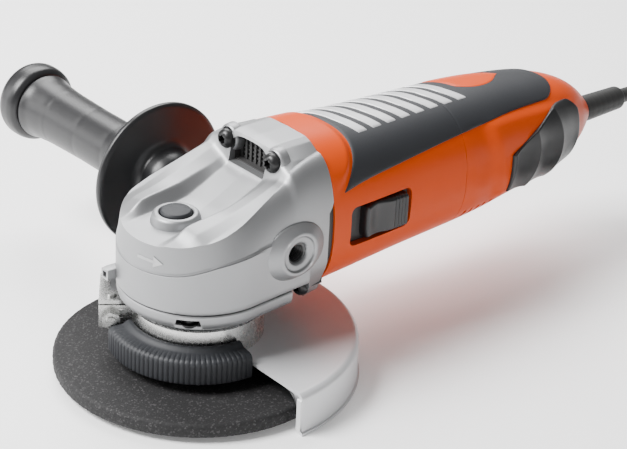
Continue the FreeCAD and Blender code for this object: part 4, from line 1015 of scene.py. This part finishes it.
    def build_gasket(self, paint: Paintshop) -> None:
        """The black air baffle between case and housing, set a little inside both outlines and
        carried all round the seam, where it also stands in as a painted shadow gap.
        """
        phi = np.linspace(0.0, TAU, 160, endpoint=False)[None, :]
        rows = [self.point(np.full_like(phi, 43.2), phi, -0.9, False)]
        ring = rows[0].copy()
        front = ring.copy()
        front[..., 0] = 39.4
        hub_a, hub_b = front.copy(), ring.copy()
        for hub in (hub_a, hub_b):
            hub[..., 1] = 0.0
            hub[..., 2] = 57.0
        points = np.concatenate([hub_a, front, ring, hub_b])
        # Part real black baffle, part painted shadow: this dark ring runs all round the seam, also
        # where case and housing meet directly.
        baffle_and_shadow_gap = as_object("baffle_and_painted_shadow_gap", points, grid_faces(4, 160, close_columns=True))
        fit(paint.dress(baffle_and_shadow_gap, "inner_plastic"), "frame", "air_baffle")

    def panel_phi(self, x: Array) -> Array:
        """Half the panel's angle at x, from the height of its side edge."""
        edge_z = through(x, (46.0, 60.0, 83.0, 120.0, 145.5, 178.0, 187.0),
                         (71.5, 74.0, 75.5, 77.4, 78.3, 76.8, 76.0))
        return 0.5 * math.pi - self.phi_of(x, edge_z, Side.LEFT)

    def build_panels(self, paint: Paintshop) -> None:
        """The soft top panel in two lengths, with a concave front and a round rear end."""
        q = np.linspace(-1.0, 1.0, 90)[None, :]
        p = np.linspace(0.0, 1.0, 130)[:, None]
        start = 60.8 - 13.4 * np.abs(q) ** 3
        end = 172.0 + 14.5 * np.sqrt(np.maximum(1 - q * q, 0.0))
        lengths = (("panel_front", start, np.full_like(q, SHELL_JOINT_X - 0.05), "top_panel_front",
                    0.0, 0.985),
                   ("panel_rear", np.full_like(q, SHELL_JOINT_X + 0.05), end, "top_panel_rear",
                    0.015, 1.0))
        for name, first, last, node, rim_start, rim_end in lengths:
            x = first + (last - first) * p
            phi = 0.5 * math.pi + q * self.panel_phi(x)
            lift = self.pillow(rim_start + (rim_end - rim_start) * p, 0.5 + 0.5 * q, 0.55, 0.03)
            fit(paint.dress(self.patch(name, x, phi, lift), "soft_black"), "frame", node)

    def build_mark(self, paint: Paintshop) -> None:
        """A plain row of slanting silver bars, and an orange lens behind it."""
        bars = []
        p, q = unit_square(14, 40)
        for index in range(8):
            x = 63.5 + 8.4 * index + 5.4 * p - 9.0 * (q - 0.5) + 0.0 * q
            across = -0.40 + 0.92 * q + 0.0 * p
            phi = 0.5 * math.pi - across * self.panel_phi(x) * 0.92
            lift = self.pillow(p, q, 0.85, 0.06, 0.2)
            bars.append(self.patch("bar", x, phi, lift, 0.6))
        fit(paint.dress(merged("silver_bars", bars), "silver_mark"), "frame")
        x = 130.0 + 34.0 * p - 5.0 * (q - 0.5)
        across = 0.28 - 0.06 * p + 0.42 * (2 * q - 1) * np.sin(math.pi * (0.20 + 0.78 * p))
        phi = 0.5 * math.pi - across * self.panel_phi(x)
        lens = self.patch("lens", x, phi, self.pillow(p, q, 0.75, 0.06, 0.2), 0.6)
        fit(paint.dress(merged("orange_lens", [lens]), "orange_shell"), "frame")

    def build_pads(self, paint: Paintshop) -> None:
        """The scalloped grip pads of the rear cover, one on each side."""
        p, q = unit_square(150, 70)
        x = 144.5 + 49.0 * p + 0.0 * q
        low = through(x, (144.5, 178.0, 188.0, 193.5), (45.3, 43.4, 49.0, 60.0))
        high = through(x, (144.5, 162.0, 179.0, 186.0, 193.5), (62.3, 69.4, 75.0, 74.4, 68.0))
        z = low + (high - low) * q
        bow = x - 6.5 * (1 - ((z - 60.0) / 17.0) ** 2)
        segment = np.clip((bow - 139.5) / 15.8, 0.0, 2.999)
        t = segment - np.floor(segment)
        scallop = 0.75 + 1.0 * np.abs(2 * t - 1) ** 2.2
        lift = self.pillow(p, q, 1.0, 0.035, 0.0) * (scallop + 0.3) - 0.3
        for side, node in ((Side.LEFT, "grip_pad_left"), (Side.RIGHT, "grip_pad_right")):
            phi = self.phi_of(x, z, side)
            pad = self.patch(f"{node}_skin", x, phi, lift, 1.6)
            fit(paint.dress(pad, "gloss_black"), "frame", node)

    def build_switch(self, paint: Paintshop) -> None:
        """The slide switch: a dark well, and a knob with a thumb dish in front and ribs behind."""
        well = block("switch_well", (9.4, 17.6), 3.2, 5, (56.85, 68.0), -26.8, -23.0, Way.Y)
        fit(paint.dress(well, "inner_plastic"), "frame")
        p, q = unit_square(130, 60)
        along, up = 2 * p - 1, 2 * q - 1
        pinch = 1 - 0.07 * (along * up) ** 4
        x = 71.0 + 11.7 * along * pinch
        z = 56.75 + 7.6 * up * pinch
        dish = 2.1 * np.exp(-((x - 66.4) / 4.8) ** 2) * (1 - 0.25 * up ** 2)
        wave = 0.5 - 0.5 * np.cos(TAU * (x - 74.2) / 1.75)
        ribs = 0.55 * ease(x, 73.6, 74.4) * wave * (x < 82.2)
        edge = np.minimum(np.minimum(p * 23.4, (1 - p) * 23.4),
                          np.minimum(q * 15.2, (1 - q) * 15.2))
        roll = np.sqrt(1 - (1 - np.clip(edge / 1.6, 0, 1)) ** 2)
        y = -27.4 - (4.1 - dish - ribs) * roll
        outer = np.stack([x + 0 * y, y, z + 0 * y], -1)
        inner = np.stack([x + 0 * y, -26.6 + 0 * y, z + 0 * y], -1)
        knob = sheet_pair("switch_knob", outer, inner, 30.0)
        fit(paint.dress(knob, "gloss_black"), "switch", "switch_slider")

    def build_rear_inside(self, paint: Paintshop) -> None:
        """A dark sheet inside the rear cover, painted shade that shows through the cooling slots.
        """
        stops = np.linspace(119.5, 148.0, 12)[:, None]
        phi = np.linspace(0.0, TAU, 90, endpoint=False)[None, :]
        skin = self.point(stops, phi, -5.5, False)
        ends = []
        for row in (0, -1):
            cap = skin[row].copy()
            cap[:, 1:] = (0.0, AXIS_HEIGHT)
            ends.append(cap[None])
        points = np.concatenate([ends[0], skin, ends[1]])
        # This sheet stands for no part: its dark finish is painted shade for the inside of the
        # cover.
        slot_shade_sheet = as_object("slot_painted_shade", points, grid_faces(*points.shape[:2], close_columns=True))
        fit(paint.dress(slot_shade_sheet, "inner_plastic"), "frame")


# ------------------------------------------------------------------------------- wheel and guard
@dataclass
class WheelGuard:
    """The grinding disc and everything that guards it."""

    disc_radius: float = 57.5
    clamp_angle: float = 143.0
    deflector_start: float = 158.5
    deflector_sweep: float = 109.0

    def build(self, paint: Paintshop) -> None:
        """Make the disc, guard, deflector and clamp."""
        self.build_disc(paint)
        self.build_guard(paint)
        self.build_deflector(paint)
        self.build_clamp(paint)

    def build_disc(self, paint: Paintshop) -> None:
        """The pressed disc: flat ring, raised hub, and a rim with loose grit along its edges."""
        rim = self.disc_radius
        profile = [(11.2, 4.0), (11.2, 9.8), (20.4, 9.8), (21.4, 9.2), (26.6, 6.4), (28.0, 6.0)]
        profile += dense([(28.0, 6.0), (rim - 1.1, 6.0), (rim - 0.2, 5.3), (rim, 4.4), (rim, 1.5),
                          (rim - 0.3, 0.5), (rim - 1.2, 0.0), (28.5, 0.0)], 0.8)[1:]
        profile += [(27.0, 0.2), (21.0, 3.6), (20.2, 4.0), (11.2, 4.0)]

        def grit(radius: Array, height: Array, angle: Array) -> tuple[Array, Array]:
            near = ease(radius, 54.5, 57.2)
            rough = (np.sin(131 * angle + 3 * radius) + np.sin(277 * angle + 5 * height)
                     + np.sin(59 * angle - 2 * height)) / 3.0
            edge = 0.05 * np.sign(height - 3.0) * near * rough
            return radius - 0.22 * near * (1 + rough), height + edge

        disc = turned("grinding_disc_body", profile, (0, 0, 0), steps=420, shape=grit, crease=50.0)
        fit(paint.dress(disc, "abrasive_grit"), "spindle", "grinding_disc")
        section = [(11.15, 9.7), (11.15, 10.05), (15.8, 10.05), (15.8, 9.7), (11.15, 9.7)]
        ring = turned("disc_centre_ring", section, (0, 0, 0), steps=72)
        fit(paint.dress(ring, "zinc_steel"), "spindle")

    def build_guard(self, paint: Paintshop) -> None:
        """Half a dish of sheet: collar hole, flat top, round shoulder, skirt and rolled hem.

        The profile is carried round 180 degrees behind the spindle, and its two straight edges
        carry a narrow turned-down lip.
        """
        outer = rounded([(24.8, 16.0), (62.6, 16.0), (64.4, 14.2), (64.4, -0.6), (65.2, -0.9),
                         (65.2, -2.1), (63.6, -2.1)], 1.4, 5)
        inner = rounded([(24.8, 14.5), (61.9, 14.5), (62.9, 13.5), (62.9, -1.4), (63.0, -1.8),
                         (63.2, -2.0), (63.6, -2.1)], 1.0, 5)
        top = np.array(dense(outer, 2.0))
        low = np.array(inner)
        t = np.linspace(0, 1, len(top))
        run = np.concatenate([[0], np.cumsum(np.linalg.norm(np.diff(low, axis=0), axis=1))])
        under = np.stack([np.interp(t * run[-1], run, low[:, k]) for k in (0, 1)], -1)
        angle = np.radians(np.linspace(-90.0, 90.0, 150))[:, None]

        def carry(flat: Array) -> Array:
            return np.stack([flat[None, :, 0] * np.cos(angle), flat[None, :, 0] * np.sin(angle),
                             flat[None, :, 1] + 0.0 * angle], -1)

        shell = sheet_pair("guard_dish", carry(top), carry(under), 30.0)
        lips = []
        for side in Side:
            lip = block("lip", (6.9, 0.65), 0.6, 3, (6.6, 0.0), 62.0, 64.3, Way.Y)
            lip.data.transform(Matrix.Diagonal((1, side.value, 1, 1)))
            if side is Side.RIGHT:
                lip.data.flip_normals()
            lips.append(lip)
        edge = merged("guard_edge_lips", lips)
        fit(paint.dress(shell, "guard_paint"), "guard", "guard_shell")
        fit(paint.dress(edge, "guard_paint"), "guard")

    def build_deflector(self, paint: Paintshop) -> None:
        """The black shield in front: a flat collar, a step, and an outer wall with ribs."""
        profile = np.array(dense(rounded([
            (26.6, 17.0), (26.6, 22.6), (28.4, 23.0), (30.6, 21.4), (35.2, 20.8), (36.4, 19.4),
            (36.4, 10.6), (34.6, 10.6), (34.4, 17.0), (26.6, 17.0)], 0.8, 3), 0.7))
        steps = 330
        sweep = np.linspace(0.0, self.deflector_sweep, steps)
        turn = np.radians(self.deflector_start + sweep)[:, None]
        radius = np.broadcast_to(profile[None, :, 0], (steps, len(profile))).copy()
        height = np.broadcast_to(profile[None, :, 1], (steps, len(profile))).copy()
        inside = ease(radius, 30.0, 35.6) * (height > 10.9)
        rib = 0.5 + 0.5 * np.cos(turn * 360.0 / 3.3)
        along = np.broadcast_to(np.linspace(0, 1, steps)[:, None], radius.shape)
        fade = ease(along, 0.02, 0.05) * (1 - ease(along, 0.95, 0.98))
        radius -= 0.4 * ease(radius, 35.9, 36.3) * rib ** 3 * fade
        height -= 0.28 * inside * ease(height, 19.0, 20.6) * rib ** 3 * fade
        points = np.stack([radius * np.cos(turn), radius * np.sin(turn), height], -1)
        caps = [np.broadcast_to(points[row].mean(0), points[row].shape)[None] for row in (0, -1)]
        points = np.concatenate([caps[0], points, caps[1]])
        shield = as_object("front_shield", points,
                           grid_faces(*points.shape[:2], close_columns=True), 30.0)
        fit(paint.dress(shield, "soft_black"), "guard", "front_deflector")

    def build_clamp(self, paint: Paintshop) -> None:
        """The clamp's bolt, stacked washers and domed nut on the collar's two ears."""
        spot = Matrix.Rotation(math.radians(self.clamp_angle), 4, "Z")
        hinge = turned("pin", rounded([(0, 16.4), (3.0, 16.4), (3.0, 18.2), (2.2, 18.6),
                                       (2.2, 26.8), (3.4, 27.0), (3.4, 27.8), (0, 27.8)], 0.3, 2),
                       (30.3, 0.0, 0.0), steps=40)
        place = (30.3, 0.0, 0.0)
        section = rounded([(0, 0), (4.6, 0), (4.6, 1.1), (0, 1.1)], 0.25, 2)
        washers = [turned("washer", [(r, low + h) for r, h in section], place, steps=48)
                   for low in (19.2, 21.2, 24.8)]
        for piece in [hinge] + washers:
            piece.data.transform(spot)
        fit(paint.dress(merged("clamp_stack", [hinge] + washers), "zinc_steel"), "guard")


# ----------------------------------------------------------------------------------- side handle
@dataclass
class SideHandle:
    """The screw-in handle: finger guard, waisted grip and round-edged knob."""

    x: float = 20.7
    z: float = 56.0

    def build(self, paint: Paintshop) -> None:
        """Make the grip with its guard, and the end knob."""
        grip = turned("handle_grip_body", dense(rounded([
            (0, 40.2), (9.6, 40.2), (11.4, 42.0), (12.6, 45.0), (13.0, 50.2), (15.5, 52.0),
            (29.6, 52.6), (31.0, 53.4), (31.0, 55.4), (29.8, 56.4), (16.5, 57.0), (14.2, 58.6),
            (13.0, 64.0), (12.1, 80.0), (12.0, 100.0), (12.5, 122.0), (13.4, 134.0), (14.6, 138.5),
            (0, 138.6)], 1.6, 4), 2.5),
            (self.x, 0, self.z), Way.Y, 128, self.ribbing)
        fit(paint.dress(grip, "gloss_black"), "frame", "handle_grip")
        cap = turned("handle_knob", rounded([
            (0, 138.7), (14.6, 138.7), (16.4, 140.4), (17.0, 143.0), (17.0, 147.2), (16.2, 149.6),
            (14.0, 150.9), (12.6, 151.0), (12.0, 150.4), (8.0, 150.0), (0, 150.0)], 0.9, 4),
                     (self.x, 0, self.z), Way.Y, 128)
        fit(paint.dress(cap, "gloss_black"), "frame", "handle_end_cap")

    @staticmethod
    def ribbing(radius: Array, height: Array, angle: Array) -> tuple[Array, Array]:
        """Shallow rings along the grip, deepest in its middle."""
        along = ease(height, 66.0, 72.0) * (1 - ease(height, 126.0, 132.0)) * (radius > 5.0)
        return radius - 0.12 * along * (0.5 + 0.5 * np.cos(TAU * height / 5.0)), height


# ------------------------------------------------------------------------------------ mains lead
@dataclass
class MainsLead:
    """The lead, from its tapered sleeve down to a tied coil and the two-pin plug.

    Attributes:
        route: the free run from the sleeve to the coil, in millimetres.
        tail: the run from the coil to the plug.
    """

    diameter: float = 6.8
    length: float = 1.70
    exit: Point = (244.0, 0.0, 55.0)
    route: tuple[Point, ...] = ((244, 0, 55), (266, 0, 55), (290, -8, 43), (303, -28, 20),
                                (307, -53, 2.1))
    tail: tuple[Point, ...] = ((240, -126, 7.2), (223, -122, 5.0), (209, -117.5, 5.9))
    coil_centre: tuple[float, float] = (258.0, -78.0)
    turns: tuple[tuple[float, float], ...] = ((46, 2.1), (39, 2.1), (32, 2.1), (32, 9.1), (39, 9.1),
                                              (46, 9.1))
    per_turn: int = 16

    def coil(self) -> list[Point]:
        """The coil's points: each turn a circle, easing into the next over its last quarter."""
        points = []
        for index, (radius, height) in enumerate(self.turns):
            after = self.turns[min(index + 1, len(self.turns) - 1)]
            for step in range(self.per_turn):
                part = float(ease(step / self.per_turn, 0.72, 1.0))
                angle = -TAU * step / self.per_turn
                r = radius + (after[0] - radius) * part
                points.append((self.coil_centre[0] + r * math.cos(angle),
                               self.coil_centre[1] + r * math.sin(angle),
                               height + (after[1] - height) * part))
        for step in range(5):
            angle = -TAU * step / self.per_turn
            r = self.turns[-1][0]
            points.append((self.coil_centre[0] + r * math.cos(angle),
                           self.coil_centre[1] + r * math.sin(angle),
                           self.turns[-1][1]))
        return points

    def build(self, paint: Paintshop, frame: dict) -> None:
        """Make the lead as one smooth curve, and build its sleeve."""
        points = [*self.route, *self.coil(), *self.tail]
        curve = bpy.data.curves.new("mains_lead", "CURVE")
        curve.dimensions = "3D"
        curve.bevel_depth = 0.5 * self.diameter * MM
        curve.bevel_resolution = 6
        curve.use_fill_caps = True
        curve.resolution_u = 6
        line = curve.splines.new("NURBS")
        line.points.add(len(points) - 1)
        for spot, place in zip(line.points, points):
            spot.co = (place[0] * MM, place[1] * MM, place[2] * MM, 1.0)
        line.order_u = 3
        line.use_endpoint_u = True
        lead = bpy.data.objects.new("mains_lead", curve)
        bpy.context.collection.objects.link(lead)
        paint.dress(lead, "cord_sheath")
        fit(lead, "frame", "cord_lead", "cord_coil")
        self.build_sleeve(paint)

    def build_sleeve(self, paint: Paintshop) -> None:
        """The tapered strain relief, with a collar in the cover and soft rings along its taper."""
        def rings(radius: Array, height: Array, angle: Array) -> tuple[Array, Array]:
            along = ease(height, 12.5, 14.0) * (1 - ease(height, 38.0, 40.0)) * (radius > 4.2)
            return radius - 0.05 * along * (0.5 + 0.5 * np.cos(TAU * height / 3.6)) ** 3, height

        profile = dense(rounded([(3.42, 0.0), (7.5, 0.0), (7.5, 3.4), (6.5, 3.8), (6.3, 9.0),
                                 (6.1, 12.0), (5.4, 40.4), (4.7, 41.8), (3.42, 42.0)], 0.6, 3),
                        0.45)
        profile.append((3.42, 0.0))
        sleeve = turned("cord_sleeve", profile, (202.0, 0.0, 55.0), Way.X, 40, rings)
        fit(paint.dress(sleeve, "cord_sheath"), "frame", "strain_relief")


# ---------------------------------------------------------------------------------------- studio
@dataclass
class Studio:
    """Camera, pale floor and soft lights."""

    azimuth: float = -42.05
    elevation: float = 26.988
    roll: float = 3.01
    distance: float = 799.0
    target: Point = (60.098, 1.274, 42.751)
    lens: float = 112.02
    floor_z: float = -2.15
    sky: float = 0.31
    lights: tuple[tuple[str, float, float, float, float], ...] = (
        ("key", 42.0, 0.6, -116.0, 48.0), ("top", 26.0, 0.9, 150.0, 50.0),
        ("fill", 0.6, 0.6, -10.0, 20.0), ("nose", 5.0, 0.5, -136.0, 14.0))

    def directions(self) -> tuple[Array, Array, Array]:
        """The camera's right, up and backward directions."""
        a, e, r = (math.radians(v) for v in (self.azimuth, self.elevation, self.roll))
        back = np.array([math.sin(a) * math.cos(e), -math.cos(a) * math.cos(e), math.sin(e)])
        right = np.array([math.cos(a), math.sin(a), 0.0])
        up = np.array([-math.sin(a) * math.sin(e), math.cos(a) * math.sin(e), math.cos(e)])
        rolled_up = -right * math.sin(r) + up * math.cos(r)
        return right * math.cos(r) + up * math.sin(r), rolled_up, back

    def place_camera(self) -> None:
        """Set the camera where the tool is seen from its front right and above."""
        right, up, back = self.directions()
        data = bpy.data.cameras.new("camera")
        data.lens = self.lens
        data.sensor_width = 36.0
        data.clip_end = 20.0
        camera = bpy.data.objects.new("camera", data)
        bpy.context.collection.objects.link(camera)
        spot = (np.array(self.target) + self.distance * back) * MM
        turn = Matrix((tuple(right), tuple(up), tuple(back))).transposed().to_4x4()
        camera.matrix_world = Matrix.Translation(Vector(spot)) @ turn
        bpy.context.scene.camera = camera

    def place_floor(self) -> None:
        """A pale floor under everything."""
        reach = 3.0
        height = self.floor_z * MM
        mesh = bpy.data.meshes.new("floor")
        mesh.from_pydata([(-reach, -reach, height), (reach, -reach, height), (reach, reach, height),
                          (-reach, reach, height)], [], [(0, 1, 2, 3)])
        floor = bpy.data.objects.new("floor", mesh)
        bpy.context.collection.objects.link(floor)
        material = bpy.data.materials.new("floor_paper")
        material.use_nodes = True
        shader = material.node_tree.nodes["Principled BSDF"]
        shader.inputs["Base Color"].default_value = (0.96, 0.96, 0.96, 1.0)
        shader.inputs["Roughness"].default_value = 0.75
        shader.inputs["Emission Color"].default_value = (1.0, 1.0, 1.0, 1.0)
        shader.inputs["Emission Strength"].default_value = 0.16
        mesh.materials.append(material)

    def add_light(self, name: str, power: float, size: float, azimuth: float, elevation: float,
                  distance: float = 1.3) -> None:
        """A square soft light that looks at the tool from a direction."""
        data = bpy.data.lights.new(name, "AREA")
        data.energy = power
        data.size = size
        lamp = bpy.data.objects.new(name, data)
        bpy.context.collection.objects.link(lamp)
        a, e = math.radians(azimuth), math.radians(elevation)
        way = Vector((math.sin(a) * math.cos(e), -math.cos(a) * math.cos(e), math.sin(e)))
        lamp.location = Vector(self.target) * MM + way * distance
        lamp.rotation_euler = way.to_track_quat("Z", "Y").to_euler()

    def build(self) -> None:
        """Set up camera, floor, sky and lights."""
        self.place_camera()
        self.place_floor()
        world = bpy.data.worlds.new("studio")
        bpy.context.scene.world = world
        world.use_nodes = True
        sky = world.node_tree.nodes["Background"]
        sky.inputs["Color"].default_value = (1.0, 1.0, 1.0, 1.0)
        sky.inputs["Strength"].default_value = self.sky
        for light in self.lights:
            self.add_light(*light)


def main() -> None:
    """Build the studio, the lead and every sub-assembly, then dress what the frame brought."""
    logging.basicConfig(level=logging.INFO, format="%(message)s")
    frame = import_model()
    paint = Paintshop()
    Studio().build()
    MainsLead().build(paint, frame)
    GearCase().build(paint)
    Housing().build(paint)
    WheelGuard().build(paint)
    SideHandle().build(paint)
    slots = {part["node"]: part["material_slot"] for part in frame["record"]["subparts"]}
    for name, node in frame["nodes"].items():
        paint.dress_node(node, slots[name])


if __name__ == "__main__":
    main()
